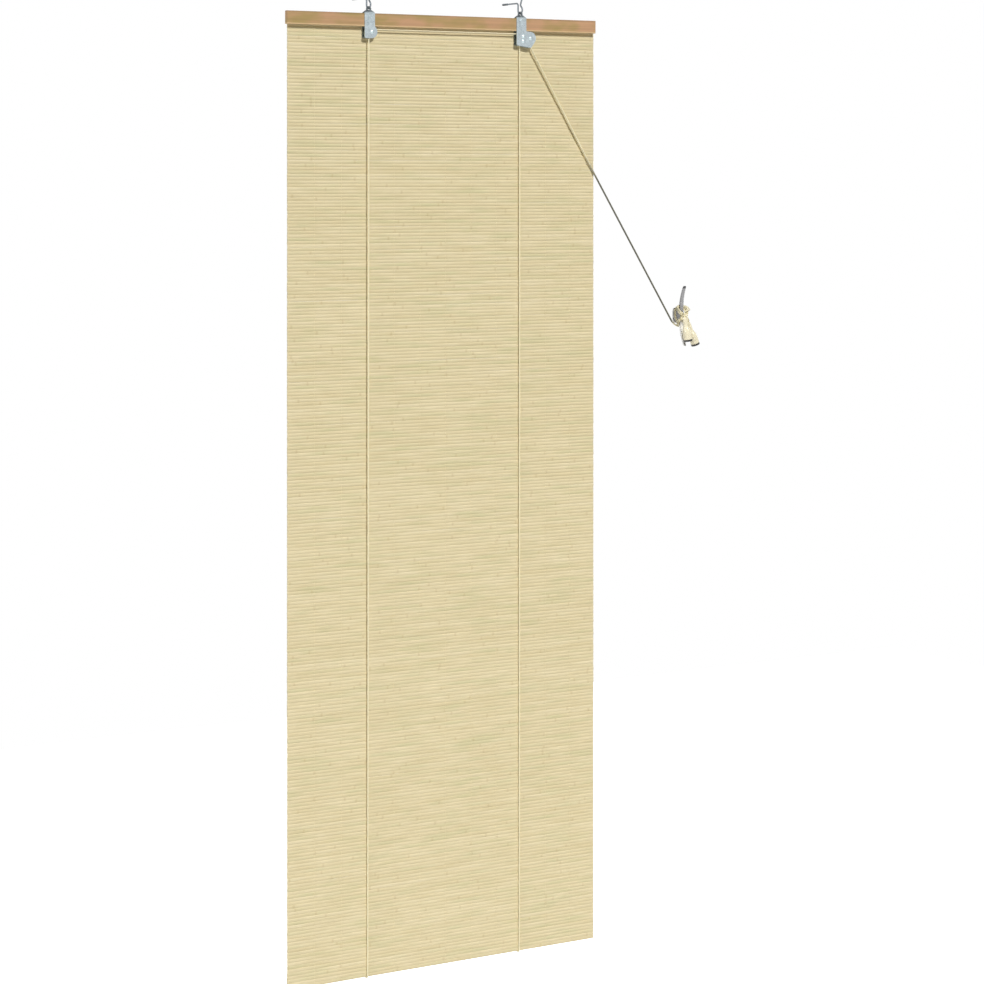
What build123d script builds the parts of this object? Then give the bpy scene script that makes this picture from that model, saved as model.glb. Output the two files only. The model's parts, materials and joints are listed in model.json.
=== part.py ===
from build123d import *
from math import acos, atan2, cos, degrees, hypot, radians, sin, tan
import os

# A bamboo roll-up blind, let all the way down: a mat of split bamboo sticks hung on the back of a wooden
# head rail, carried by two folded sheet straps on screw hooks. Two lift cords go under the mat's lower
# edge, up its front, over pulleys in the straps, through a cam lock and down to a cleat on the wall.
# X runs along the rail, -Y faces the room and +Z is up. The origin lies on the wall's face, midway between
# the two hook screws.

os.makedirs("parts", exist_ok=True)

# The blind as a whole
BLIND_WIDTH = 600.0
BLIND_DROP = 1600.0  # from the rail's top to the mat's lower edge
BRACKET_SPACING = 297.0  # between the two straps, and between the hook screws
STANDOFF = 38.0  # from the wall's face to the middle of the rail's straps
HANG_DROP = 26.0  # from the hook screws' axis down to the rail's top
FIT = 0.1  # play of a rivet in its hole
GAP = 0.3  # play beside a part that moves, or that lies on a soft one
OVERRUN = 5.0  # how far a cutting shape reaches past what it cuts

# Head rail, a planed lath
RAIL_DEPTH = 8.0
RAIL_HEIGHT = 22.0
RAIL_ROUND = 1.0
RAIL_OVERHANG = 1.6  # half of what the rail is longer than the mat

# Hanging straps, folded from sheet
SHEET = 1.2
STRAP_WIDTH = 19.5
SHOULDER_RISE = 4.7  # height over which the two legs lean together above the rail
SHOULDER_LIFT = 0.8  # straight part of a leg above the rail's top
EYE_RISE = 7.3  # from the rail's top to the middle of the eye
EYE_RADIUS = 2.2
TAB_RADIUS = 4.4  # round end of the doubled tab that holds the eye
CORNER_ROUND = 3.0
RIB_WIDTH = 6.5
RIB_RISE = 0.5
RIB_INSET = 2.5  # from the rail's edges to the pressed rib's ends

# Hook wire and screw
HOOK_WIRE = 2.8
HOOK_RADIUS = 6.8  # middle of the wire
SCREW_LENGTH = 22.0  # of the screw in the wall
SCREW_POINT = 5.0
SCREW_TIP_RADIUS = 0.2
# Corners of the hook's wire from its bend beside the wall to its tip, in hook radii from the loop's centre
HOOK_TIP_SHARES = ((-1.0, 0.3), (-0.12, 1.15), (-0.85, 2.7))
HOOK_BEND_SHARES = (0.6, 0.96, 0.96, 0.42, 0.32)

# Cords and pulleys
CORD = 2.0
CORD_PLAY = 0.2  # between a cord and the floor of its groove
AXLE_SHIFT = 3.9  # pulley axle, right of its strap's middle
AXLE_DROP = 9.0  # pulley axle, below the rail
PULLEY_RADIUS = 5.6
PULLEY_WIDTH = 6.2
GROOVE_FLOOR = 3.0
GROOVE_SHIFT = 1.45  # each groove, from the pulley's middle
GROOVE_MOUTH = 2.5
GROOVE_BED = 2.3
PULLEY_LOBE = 10.5
CORD_LEAD = 3.0  # straight cord below a pulley, where lift cord and pull cord meet

# Rivets
RIVET_RADIUS = 1.5
RIVET_HEAD = 3.1
RIVET_DOME = 1.4

# Cord lock in the right strap
GUIDE_SHIFT = 3.3
GUIDE_DROP = 17.0
CAM_SHIFT = 18.2
CAM_DROP = 11.9
CAM_LOBE = 11.0
CAM_RADIUS = 5.65  # to the toothed edge
CAM_HUB = 3.3
CAM_HALF_ANGLE = 18.0
CAM_TOOTH = 0.45
CAM_TEETH = 5
CAM_WIDTH = 5.8
ANVIL_LENGTH = 9.0
ANVIL_PLAY = 0.4
ANVIL_REACH = 3.2  # middle of the anvil, down the cord from the cam's axle
LIP_SHIFT = 18.0
LIP_DROP = 25.3
HEEL_DROP = 21.7

# Bamboo mat
STICK_PITCH = 5.5
MAT_THICKNESS = 1.8
MAT_TOP_INSET = 2.0  # below the rail's top
MAT_SHIFT = 2.6  # the mat's middle, right of the rail's
STICK_GROOVE_DEPTH = 0.55
STICK_GROOVE_WIDTH = 1.1

# Bottom batten, the lath that the mat rolls up on
BATTEN_DEPTH = 6.0
BATTEN_HEIGHT = 18.0
BATTEN_ROUND = 1.2
BATTEN_END_INSET = 3.0
EDGE_TURN = 2.5  # radius of a cord round the mat's lower edge
EDGE_PLAY = 0.7

# Staples, seen on the back
STAPLE_WIRE = 1.0
STAPLE_CROWN = 10.0
STAPLE_LEG = 6.0
STAPLE_END_INSET = 20.0
STAPLE_DROP = 8.0  # below the rail's top
ANCHOR_SHIFT = 16.0  # a lift cord's fixed end, outward of its strap
ANCHOR_CROWN = 5.0
KNOT_RADIUS = 2.2
KNOT_RISE = 3.0  # above the anchor staple

# Wall cleat
CLEAT_X = 499.5
CLEAT_Z = -546.0
CLEAT_LENGTH = 107.0
CLEAT_BODY = 20.0  # length of the solid middle
CLEAT_WIDTH = 7.0
CLEAT_TIP_WIDTH = 4.4
CLEAT_BASE_LENGTH = 27.0
CLEAT_BASE_WIDTH = 11.0
CLEAT_BASE = 3.0
CLEAT_HEIGHT = 22.0  # from the wall to the front of the body
CLEAT_BAR = 4.2  # thickness of the horns at the body
CLEAT_TIP = 3.4  # thickness of the horns at their tips
CLEAT_FLARE = 11.0  # how far the tips stand forward of the body
SCREW_HOLE = 1.6
SCREW_HEAD = 3.0
SCREW_HOLE_SPACING = 11.0

# Cord wound on the cleat, its tails and the two pulls
WRAP_WIDTH = 30.0
WRAP_HEIGHT = 42.0
WRAP_FRONT = 6.4  # in front of the cleat's body
WRAP_BACK = 1.5  # clear of the cleat's base
WRAP_ROUND = 3.5
LAND_SIDE = 10.0
LAND_DROP = 10.0
LAND_DEPTH = 14.0  # from the wall
EXIT_RUN = 42.0  # how far a pull cord stays in its pulley's plane
EXIT_TURN = 400.0
PULL_LENGTH = 44.0
PULL_RADIUS = 8.0
PULL_NECK = 3.2
PULL_LEAD = 7.0  # straight cord above a pull
PULL_BORE = 1.3
PULL_CUP = 5.0
PULL_CUP_DEPTH = 9.0
LEFT_PULL_LEAN = 11.0  # degrees from plumb
RIGHT_PULL_LEAN = 22.0
# A pull's turned outline, as shares of its length from the top, and of its largest radius
PULL_FLARE_SHARES = ((0.18, 0.52), (0.4, 0.6), (0.52, 0.86), (0.7, 0.98))
# Places measured from the middle of the cleat on the wall: a pull's lower end, and a tail's first points
LEFT_PULL_PLACE = (1.9, -39.0, -44.4)
RIGHT_PULL_PLACE = (22.5, -32.5, -52.0)
LEFT_TAIL_PLACES = ((8.0, -26.0, 9.5), (0.5, -34.5, 10.5))
RIGHT_TAIL_PLACES = ((10.0, -22.0, 9.0), (6.5, -31.5, 4.5))
CORNER_SHARE = 0.45  # of the shorter run beside a corner, for the arc's tangent length

# Places that the sizes above give
HALF_SPACING = BRACKET_SPACING / 2
STRAP_Y = -STANDOFF
HALF_GAP = (RAIL_DEPTH - SHEET) / 2  # between a strap's legs, either side of its middle
RAIL_FRONT = STRAP_Y - HALF_GAP
RAIL_BACK = RAIL_FRONT + RAIL_DEPTH
RAIL_LENGTH = BLIND_WIDTH + 2 * RAIL_OVERHANG
RAIL_TOP = -HANG_DROP
RAIL_BOTTOM = RAIL_TOP - RAIL_HEIGHT
EYE_Z = RAIL_TOP + EYE_RISE
HOOK_LOW = EYE_Z + EYE_RADIUS - GAP - HOOK_WIRE / 2
HOOK_CENTRE = HOOK_LOW + HOOK_RADIUS
MAT_BACK = RAIL_BACK + MAT_THICKNESS
MAT_LEFT = MAT_SHIFT - BLIND_WIDTH / 2
MAT_RIGHT = MAT_SHIFT + BLIND_WIDTH / 2
MAT_TOP = RAIL_TOP - MAT_TOP_INSET
MAT_BOTTOM = RAIL_TOP - BLIND_DROP
BATTEN_FRONT = MAT_BACK + GAP
BATTEN_BACK = BATTEN_FRONT + BATTEN_DEPTH
AXLE_Z = RAIL_BOTTOM - AXLE_DROP
CORD_LINE = GROOVE_FLOOR + CORD_PLAY + CORD / 2
LEFT_AXLE = -HALF_SPACING + AXLE_SHIFT
RIGHT_AXLE = HALF_SPACING + AXLE_SHIFT
LEFT_CORD_Y = STRAP_Y - GROOVE_SHIFT
RIGHT_CORD_Y = STRAP_Y + GROOVE_SHIFT

# The pull cords leave the right pulley on the tangent that leads to the cleat
LAND_X = CLEAT_X - LAND_SIDE
LAND_Z = CLEAT_Z - LAND_DROP
LAND_Y = -LAND_DEPTH
LAND_DISTANCE = hypot(LAND_X - RIGHT_AXLE, LAND_Z - AXLE_Z)
EXIT_ANGLE = atan2(LAND_Z - AXLE_Z, LAND_X - RIGHT_AXLE) + acos(CORD_LINE / LAND_DISTANCE)
EXIT_X = RIGHT_AXLE + CORD_LINE * cos(EXIT_ANGLE)
EXIT_Z = AXLE_Z + CORD_LINE * sin(EXIT_ANGLE)


def save(part, name):
    """Labels a finished piece and writes it."""
    part.label = name
    export_step(part, f"parts/{name}.step")


def tube(route, diameter=CORD):
    """A round cord or wire along a route of straight runs and tangent arcs."""
    with BuildPart() as cord:
        with BuildSketch(Plane(origin=route @ 0, z_dir=route % 0)):
            Circle(diameter / 2)
        sweep(path=route)
    return cord.part


def corner_radii(points):
    """The radius at each corner of a free cord: a share of the shorter run over the half turn's tangent."""
    corners = [Vector(p) for p in points]
    radii = []
    for before, here, after in zip(corners, corners[1:], corners[2:]):
        run_in = here - before
        run_out = after - here
        half_turn = radians(run_in.get_angle(run_out)) / 2
        radii.append(CORNER_SHARE * min(run_in.length, run_out.length) / tan(half_turn))
    return radii


# Head rail: the lath, with two housings in its back for the straps' rear legs
with BuildPart() as head_rail:
    with Locations((0, (RAIL_FRONT + RAIL_BACK) / 2, (RAIL_TOP + RAIL_BOTTOM) / 2)):
        Box(RAIL_LENGTH, RAIL_DEPTH, RAIL_HEIGHT)
    fillet(head_rail.edges().filter_by(Axis.X), RAIL_ROUND)
    with Locations(
        (-HALF_SPACING, RAIL_BACK, (RAIL_TOP + RAIL_BOTTOM) / 2),
        (HALF_SPACING, RAIL_BACK, (RAIL_TOP + RAIL_BOTTOM) / 2),
    ):
        Box(STRAP_WIDTH + 2 * GAP, 2 * SHEET, RAIL_HEIGHT + 2 * OVERRUN, mode=Mode.SUBTRACT)
save(head_rail.part, "head_rail")


# Screw hooks: wire bent down from its screw, round under the strap's eye and back up to a flared tip
def screw_hook(x):
    """A wire hook in the plane across the wall, with a pointed screw behind the wall's face."""
    back_bend = (STRAP_Y + HOOK_RADIUS, 0)
    loop = [
        (STRAP_Y + HOOK_RADIUS, HOOK_LOW),
        (STRAP_Y - HOOK_RADIUS, HOOK_LOW),
    ]
    tip = [(STRAP_Y + HOOK_RADIUS * y, HOOK_CENTRE + HOOK_RADIUS * z) for y, z in HOOK_TIP_SHARES]
    bends = [HOOK_RADIUS * share for share in HOOK_BEND_SHARES]
    with BuildLine(Plane.YZ.offset(x)) as wire:
        FilletPolyline((0, 0), back_bend, *loop, *tip, radius=bends)
    with BuildPart() as hook:
        add(tube(wire.wire(), HOOK_WIRE))
        with BuildSketch(Plane.XY):
            with BuildLine():
                Polyline(
                    (x, 0),
                    (x + HOOK_WIRE / 2, 0),
                    (x + HOOK_WIRE / 2, SCREW_LENGTH - SCREW_POINT),
                    (x + SCREW_TIP_RADIUS, SCREW_LENGTH),
                    (x, SCREW_LENGTH),
                    close=True,
                )
            make_face()
        revolve(axis=Axis((x, 0, 0), (0, 1, 0)))
    return hook.part


save(screw_hook(-HALF_SPACING), "left_hook")
save(screw_hook(HALF_SPACING), "right_hook")


# Straps: one sheet folded over the rail, doubled at the eye, with lobes below the rail for the pulleys
def strap(x, lobes, rivets):
    """A folded strap. Lobes and rivets are places below the rail, each as shift, drop and radius."""
    outer = HALF_GAP + SHEET
    lean = atan2(HALF_GAP, SHOULDER_RISE)
    outer_bend = RAIL_TOP + SHOULDER_LIFT
    inner_bend = outer_bend - SHEET * tan(lean / 2)
    foot = RAIL_BOTTOM - max(drop + radius for shift, drop, radius in lobes) - OVERRUN
    crown = EYE_Z + TAB_RADIUS
    with BuildPart() as folded:
        with BuildSketch(Plane.YZ.offset(x)):
            with BuildLine():
                Polyline(
                    (STRAP_Y - outer, foot),
                    (STRAP_Y - outer, outer_bend),
                    (STRAP_Y - SHEET, outer_bend + SHOULDER_RISE),
                    (STRAP_Y - SHEET, crown),
                    (STRAP_Y + SHEET, crown),
                    (STRAP_Y + SHEET, outer_bend + SHOULDER_RISE),
                    (STRAP_Y + outer, outer_bend),
                    (STRAP_Y + outer, foot),
                    close=True,
                )
            make_face()
            with BuildLine():
                Polyline(
                    (STRAP_Y - HALF_GAP, foot),
                    (STRAP_Y - HALF_GAP, inner_bend),
                    (STRAP_Y, inner_bend + SHOULDER_RISE),
                    (STRAP_Y + HALF_GAP, inner_bend),
                    (STRAP_Y + HALF_GAP, foot),
                    close=True,
                )
            make_face(mode=Mode.SUBTRACT)
        extrude(amount=STRAP_WIDTH + CAM_SHIFT + CAM_LOBE, both=True)
        with BuildSketch(Plane.XZ):
            for shift, drop, radius in lobes:
                with Locations((x + shift, RAIL_BOTTOM - drop)):
                    Circle(radius)
            with Locations((x, RAIL_BOTTOM)):
                Rectangle(STRAP_WIDTH, SHEET, align=(Align.CENTER, Align.MAX))
            make_hull()
            with Locations((x, RAIL_BOTTOM)):
                Rectangle(
                    STRAP_WIDTH,
                    RAIL_HEIGHT + SHOULDER_LIFT,
                    align=(Align.CENTER, Align.MIN),
                )
            with BuildLine():
                Polyline(
                    (x - STRAP_WIDTH / 2, outer_bend),
                    (x - TAB_RADIUS, outer_bend + SHOULDER_RISE),
                    (x - TAB_RADIUS, EYE_Z),
                    (x + TAB_RADIUS, EYE_Z),
                    (x + TAB_RADIUS, outer_bend + SHOULDER_RISE),
                    (x + STRAP_WIDTH / 2, outer_bend),
                    close=True,
                )
            make_face()
            with Locations((x, EYE_Z)):
                Circle(TAB_RADIUS)
                Circle(EYE_RADIUS, mode=Mode.SUBTRACT)
            for shift, drop in rivets:
                with Locations((x + shift, RAIL_BOTTOM - drop)):
                    Circle(RIVET_RADIUS + FIT, mode=Mode.SUBTRACT)
        extrude(amount=STANDOFF + RAIL_DEPTH + OVERRUN, both=True, mode=Mode.INTERSECT)
        with BuildSketch(Plane.XZ.offset(STANDOFF + outer)):
            with Locations((x, (RAIL_TOP + RAIL_BOTTOM) / 2)):
                SlotOverall(RAIL_HEIGHT - 2 * RIB_INSET, RIB_WIDTH, rotation=90)
        extrude(amount=RIB_RISE)
    return folded.part


HEEL = (CORNER_ROUND - STRAP_WIDTH / 2, AXLE_DROP + PULLEY_LOBE - CORNER_ROUND, CORNER_ROUND)
PULLEY_LOBE_PLACE = (AXLE_SHIFT, AXLE_DROP, PULLEY_LOBE)
save(
    strap(-HALF_SPACING, [HEEL, PULLEY_LOBE_PLACE], [(AXLE_SHIFT, AXLE_DROP)]),
    "left_bracket",
)

# The right strap is larger: it also holds the cam lock, and a tongue bent in behind the cords as its anvil
LOW_HEEL = (CORNER_ROUND - STRAP_WIDTH / 2, HEEL_DROP, CORNER_ROUND)
LIP = (LIP_SHIFT, LIP_DROP, CORNER_ROUND)
CAM_LOBE_PLACE = (CAM_SHIFT, CAM_DROP, CAM_LOBE)
RIGHT_RIVETS = [(AXLE_SHIFT, AXLE_DROP), (GUIDE_SHIFT, GUIDE_DROP), (CAM_SHIFT, CAM_DROP)]
CAM_X = HALF_SPACING + CAM_SHIFT
CAM_Z = RAIL_BOTTOM - CAM_DROP
ALONG = Vector(sin(EXIT_ANGLE), 0, -cos(EXIT_ANGLE))  # down a pull cord
ACROSS = Vector(cos(EXIT_ANGLE), 0, sin(EXIT_ANGLE))  # from a pull cord towards the cam
CAM_TO_CORD = (Vector(CAM_X, 0, CAM_Z) - Vector(EXIT_X, 0, EXIT_Z)).dot(ACROSS)
ANVIL_PLACE = (
    Vector(CAM_X, STRAP_Y - GAP / 2, CAM_Z)
    - ACROSS * (CAM_TO_CORD + CORD / 2 + ANVIL_PLAY + SHEET / 2)
    + ALONG * ANVIL_REACH
)
with BuildPart() as right_bracket:
    add(strap(HALF_SPACING, [LOW_HEEL, LIP, CAM_LOBE_PLACE], RIGHT_RIVETS))
    with Locations(Plane(origin=ANVIL_PLACE, x_dir=ALONG, z_dir=(0, 1, 0))):
        Box(ANVIL_LENGTH, SHEET, 2 * HALF_GAP - GAP)
save(right_bracket.part, "right_bracket")


# Pulleys: two grooves side by side, one for each cord
def pulley(x):
    """A turned pulley with two grooves, about an axle along Y."""
    half_mouth = GROOVE_MOUTH / 2
    half_bed = GROOVE_BED / 2
    groove = [
        (PULLEY_RADIUS, -half_mouth),
        (GROOVE_FLOOR, -half_bed),
        (GROOVE_FLOOR, half_bed),
        (PULLEY_RADIUS, half_mouth),
    ]
    front = [(x + r, STRAP_Y - GROOVE_SHIFT + y) for r, y in groove]
    back = [(x + r, STRAP_Y + GROOVE_SHIFT + y) for r, y in groove]
    with BuildPart() as wheel:
        with BuildSketch(Plane.XY.offset(AXLE_Z)):
            with BuildLine():
                Polyline(
                    (x + RIVET_RADIUS + FIT, STRAP_Y - PULLEY_WIDTH / 2),
                    (x + PULLEY_RADIUS, STRAP_Y - PULLEY_WIDTH / 2),
                    *front,
                    *back,
                    (x + PULLEY_RADIUS, STRAP_Y + PULLEY_WIDTH / 2),
                    (x + RIVET_RADIUS + FIT, STRAP_Y + PULLEY_WIDTH / 2),
                    close=True,
                )
            make_face()
        revolve(axis=Axis((x, 0, AXLE_Z), (0, 1, 0)))
    return wheel.part


save(pulley(LEFT_AXLE), "left_pulley")
save(pulley(RIGHT_AXLE), "right_pulley")


# Rivets: a domed head in front, the shank set flush in the rear leg
def rivet(x, z):
    """A rivet across a strap's two legs."""
    face = STRAP_Y - HALF_GAP - SHEET
    back = STRAP_Y + HALF_GAP + SHEET
    with BuildPart() as pin:
        with BuildSketch(Plane.XY.offset(z)):
            with BuildLine():
                Line((x, face - RIVET_DOME), (x, back))
                Line((x, back), (x + RIVET_RADIUS, back))
                Line((x + RIVET_RADIUS, back), (x + RIVET_RADIUS, face))
                Line((x + RIVET_RADIUS, face), (x + RIVET_HEAD, face))
                dome = (RIVET_HEAD**2 + RIVET_DOME**2) / (2 * RIVET_DOME)
                RadiusArc((x + RIVET_HEAD, face), (x, face - RIVET_DOME), dome)
            make_face()
        revolve(axis=Axis((x, 0, z), (0, 1, 0)))
    return pin.part


save(rivet(LEFT_AXLE, AXLE_Z), "left_pulley_axle")
save(rivet(RIGHT_AXLE, AXLE_Z), "right_pulley_axle")
save(rivet(HALF_SPACING + GUIDE_SHIFT, RAIL_BOTTOM - GUIDE_DROP), "guide_pin")
save(rivet(CAM_X, CAM_Z), "lock_cam_axle")

# Lock cam: a toothed quadrant that hangs from its axle beside the cords and bites when a cord runs back
with BuildPart() as lock_cam:
    with BuildSketch(Plane.XZ.offset(STANDOFF - CAM_WIDTH / 2)):
        with Locations((CAM_X, CAM_Z)):
            Circle(CAM_HUB)
        with BuildLine():
            edge = CenterArc((CAM_X, CAM_Z), CAM_RADIUS, -90 - CAM_HALF_ANGLE, 2 * CAM_HALF_ANGLE)
            Polyline(edge @ 0, (CAM_X - CAM_HUB, CAM_Z), (CAM_X + CAM_HUB, CAM_Z), edge @ 1)
        make_face()
        with Locations((CAM_X, CAM_Z)):
            with PolarLocations(
                CAM_RADIUS,
                CAM_TEETH,
                start_angle=-90 - CAM_HALF_ANGLE,
                angular_range=2 * CAM_HALF_ANGLE,
                endpoint=True,
            ):
                RegularPolygon(CAM_TOOTH, 3, rotation=180, mode=Mode.SUBTRACT)
            Circle(RIVET_RADIUS + FIT, mode=Mode.SUBTRACT)
    extrude(amount=CAM_WIDTH)
save(lock_cam.part, "lock_cam")

# Mat: split bamboo sticks laid edge to edge, as ridges on both faces of one wall
STICKS = round((MAT_TOP - MAT_BOTTOM) / STICK_PITCH)
PITCH = (MAT_TOP - MAT_BOTTOM) / STICKS
with BuildPart() as mat:
    half_groove = STICK_GROOVE_WIDTH / 2
    front_line = [(RAIL_BACK, MAT_BOTTOM)]
    back_line = [(MAT_BACK, MAT_BOTTOM)]
    for joint in range(1, STICKS):
        level = MAT_BOTTOM + joint * PITCH
        front_line += [
            (RAIL_BACK, level - half_groove),
            (RAIL_BACK + STICK_GROOVE_DEPTH, level),
            (RAIL_BACK, level + half_groove),
        ]
        back_line += [
            (MAT_BACK, level - half_groove),
            (MAT_BACK - STICK_GROOVE_DEPTH, level),
            (MAT_BACK, level + half_groove),
        ]
    front_line.append((RAIL_BACK, MAT_TOP))
    back_line.append((MAT_BACK, MAT_TOP))
    with BuildSketch(Plane.YZ.offset(MAT_LEFT)):
        with BuildLine():
            Polyline(*front_line, *reversed(back_line), close=True)
        make_face()
    extrude(amount=BLIND_WIDTH)
save(mat.part, "mat")

# Bottom batten: a lath behind the mat's lowest sticks
with BuildPart() as bottom_batten:
    with Locations((MAT_SHIFT, (BATTEN_FRONT + BATTEN_BACK) / 2, MAT_BOTTOM + BATTEN_HEIGHT / 2)):
        Box(BLIND_WIDTH - 2 * BATTEN_END_INSET, BATTEN_DEPTH, BATTEN_HEIGHT)
    fillet(bottom_batten.edges().filter_by(Axis.X), BATTEN_ROUND)
save(bottom_batten.part, "bottom_batten")


# Staples: flat wire driven through the mat into the rail, and two that pin the lift cords' fixed ends
def staple_outline(x, crown, stand):
    """A staple's U in plan, its crown standing off the mat's back."""
    inside = MAT_BACK + stand
    with Locations((x, inside)):
        Rectangle(crown, STAPLE_WIRE, align=(Align.CENTER, Align.MIN))
    for side in (-1, 1):
        with Locations((x + side * (crown - STAPLE_WIRE) / 2, inside)):
            Rectangle(STAPLE_WIRE, stand + MAT_THICKNESS + STAPLE_LEG, align=(Align.CENTER, Align.MAX))


ANCHOR_X = HALF_SPACING + ANCHOR_SHIFT
STAPLE_Z = RAIL_TOP - STAPLE_DROP
STAPLE_PLACES = (
    0,
    BRACKET_SPACING / 4,
    (BRACKET_SPACING + BLIND_WIDTH) / 4,
    BLIND_WIDTH / 2 - STAPLE_END_INSET,
)
with BuildPart() as staples:
    with BuildSketch(Plane.XY.offset(STAPLE_Z)):
        for place in STAPLE_PLACES:
            for side in (-1, 1) if place else (1,):
                staple_outline(side * place, STAPLE_CROWN, 0)
        for side in (-1, 1):
            staple_outline(side * ANCHOR_X, ANCHOR_CROWN, CORD + 2 * GAP)
    extrude(amount=STAPLE_WIRE)
save(staples.part, "staples")


# Lift cords: from a knot over the anchor staple down the back, under the edge and up the front to a pulley
def lift_cord(axle, cord_y, anchor):
    """One lift cord from its knot to just below its pulley."""
    cord_x = axle - CORD_LINE
    knot = Vector(anchor, MAT_BACK + CORD / 2 + GAP, STAPLE_Z + STAPLE_WIRE + KNOT_RISE)
    low = MAT_BOTTOM - CORD / 2 - EDGE_PLAY
    back_corner = (cord_x, BATTEN_BACK + CORD / 2 + EDGE_PLAY, low)
    front_corner = (cord_x, RAIL_BACK - CORD / 2 - EDGE_PLAY, low)
    top = (cord_x, cord_y, AXLE_Z - CORD_LEAD)
    with BuildLine() as route:
        FilletPolyline(knot, back_corner, front_corner, top, radius=EDGE_TURN)
    with BuildPart() as cord:
        add(tube(route.wire()))
        with Locations(knot + Vector(0, KNOT_RADIUS - CORD / 2, 0)):
            Sphere(KNOT_RADIUS)
    return cord.part


save(lift_cord(LEFT_AXLE, LEFT_CORD_Y, -ANCHOR_X), "left_lift_cord")
save(lift_cord(RIGHT_AXLE, RIGHT_CORD_Y, ANCHOR_X), "right_lift_cord")


# Pull cords: over the pulleys, past the cam and straight down to the cleat
def pull_route(cord_y, first_axle, layer):
    """Up from the lift cord, over each pulley on its own radius, past the mat's edge and down to the cleat."""
    edge_run = (MAT_RIGHT - EXIT_X) / ALONG.X
    lift = layer * (CORD + GAP)
    run_end = EXIT_X + EXIT_RUN * ALONG.X, EXIT_Z + EXIT_RUN * ALONG.Z
    edge = (
        EXIT_X + edge_run * ALONG.X,
        EXIT_Z + edge_run * ALONG.Z,
        cord_y - RAIL_BACK + CORD / 2 + GAP + lift,
    )
    land = LAND_X, LAND_Z, cord_y - LAND_Y + lift
    over_turn = 180 - degrees(EXIT_ANGLE)
    with BuildLine(Plane.XZ.offset(-cord_y)) as route:
        up = Line(
            (first_axle - CORD_LINE, AXLE_Z - CORD_LEAD),
            (first_axle - CORD_LINE, AXLE_Z),
        )
        if first_axle < RIGHT_AXLE:
            over_left = JernArc(up @ 1, up % 1, CORD_LINE, -90)
            Line(over_left @ 1, (RIGHT_AXLE, AXLE_Z + CORD_LINE))
            JernArc((RIGHT_AXLE, AXLE_Z + CORD_LINE), (1, 0), CORD_LINE, 90 - over_turn)
        else:
            JernArc(up @ 1, up % 1, CORD_LINE, -over_turn)
        FilletPolyline((EXIT_X, EXIT_Z), run_end, edge, land, radius=EXIT_TURN)
    return route.wire()


save(tube(pull_route(LEFT_CORD_Y, LEFT_AXLE, 1)), "left_pull_cord")
save(tube(pull_route(RIGHT_CORD_Y, RIGHT_AXLE, 0)), "right_pull_cord")


# Wall cleat: a body on a small base, with two horns that sweep forward to rounded tips
def cleat_bar():
    """The body and horns, as a side view cut to a front view."""
    half = CLEAT_LENGTH / 2
    body = CLEAT_BODY / 2
    front = -CLEAT_HEIGHT
    tip_front = front - CLEAT_FLARE
    with BuildPart() as bar:
        with BuildSketch(Plane.YZ.offset(CLEAT_X)):
            with BuildLine():
                for up in (1, -1):
                    tip_z = CLEAT_Z + up * half
                    body_z = CLEAT_Z + up * body
                    TangentArc((front, body_z), (tip_front, tip_z), tangent=(0, up))
                    Line((tip_front, tip_z), (tip_front + CLEAT_TIP, tip_z))
                    TangentArc(
                        (front + CLEAT_BAR, body_z),
                        (tip_front + CLEAT_TIP, tip_z),
                        tangent=(0, up),
                    )
                    Line((front + CLEAT_BAR, body_z), (0, body_z))
                Line((0, CLEAT_Z - body), (0, CLEAT_Z + body))
                Line((front, CLEAT_Z - body), (front, CLEAT_Z + body))
            make_face()
        extrude(amount=CLEAT_WIDTH, both=True)
        with BuildSketch(Plane.XZ):
            with BuildLine():
                Polyline(
                    (CLEAT_X - CLEAT_WIDTH / 2, CLEAT_Z - body),
                    (CLEAT_X - CLEAT_WIDTH / 2, CLEAT_Z + body),
                    (CLEAT_X - CLEAT_TIP_WIDTH / 2, CLEAT_Z + half - CLEAT_TIP_WIDTH / 2),
                )
                RadiusArc(
                    (CLEAT_X - CLEAT_TIP_WIDTH / 2, CLEAT_Z + half - CLEAT_TIP_WIDTH / 2),
                    (CLEAT_X + CLEAT_TIP_WIDTH / 2, CLEAT_Z + half - CLEAT_TIP_WIDTH / 2),
                    CLEAT_TIP_WIDTH / 2,
                )
                Polyline(
                    (CLEAT_X + CLEAT_TIP_WIDTH / 2, CLEAT_Z + half - CLEAT_TIP_WIDTH / 2),
                    (CLEAT_X + CLEAT_WIDTH / 2, CLEAT_Z + body),
                    (CLEAT_X + CLEAT_WIDTH / 2, CLEAT_Z - body),
                    (CLEAT_X + CLEAT_TIP_WIDTH / 2, CLEAT_Z - half + CLEAT_TIP_WIDTH / 2),
                )
                RadiusArc(
                    (CLEAT_X + CLEAT_TIP_WIDTH / 2, CLEAT_Z - half + CLEAT_TIP_WIDTH / 2),
                    (CLEAT_X - CLEAT_TIP_WIDTH / 2, CLEAT_Z - half + CLEAT_TIP_WIDTH / 2),
                    CLEAT_TIP_WIDTH / 2,
                )
                Line(
                    (CLEAT_X - CLEAT_TIP_WIDTH / 2, CLEAT_Z - half + CLEAT_TIP_WIDTH / 2),
                    (CLEAT_X - CLEAT_WIDTH / 2, CLEAT_Z - body),
                )
            make_face()
        extrude(amount=CLEAT_HEIGHT + CLEAT_FLARE + OVERRUN, both=True, mode=Mode.INTERSECT)
    return bar.part


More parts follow.
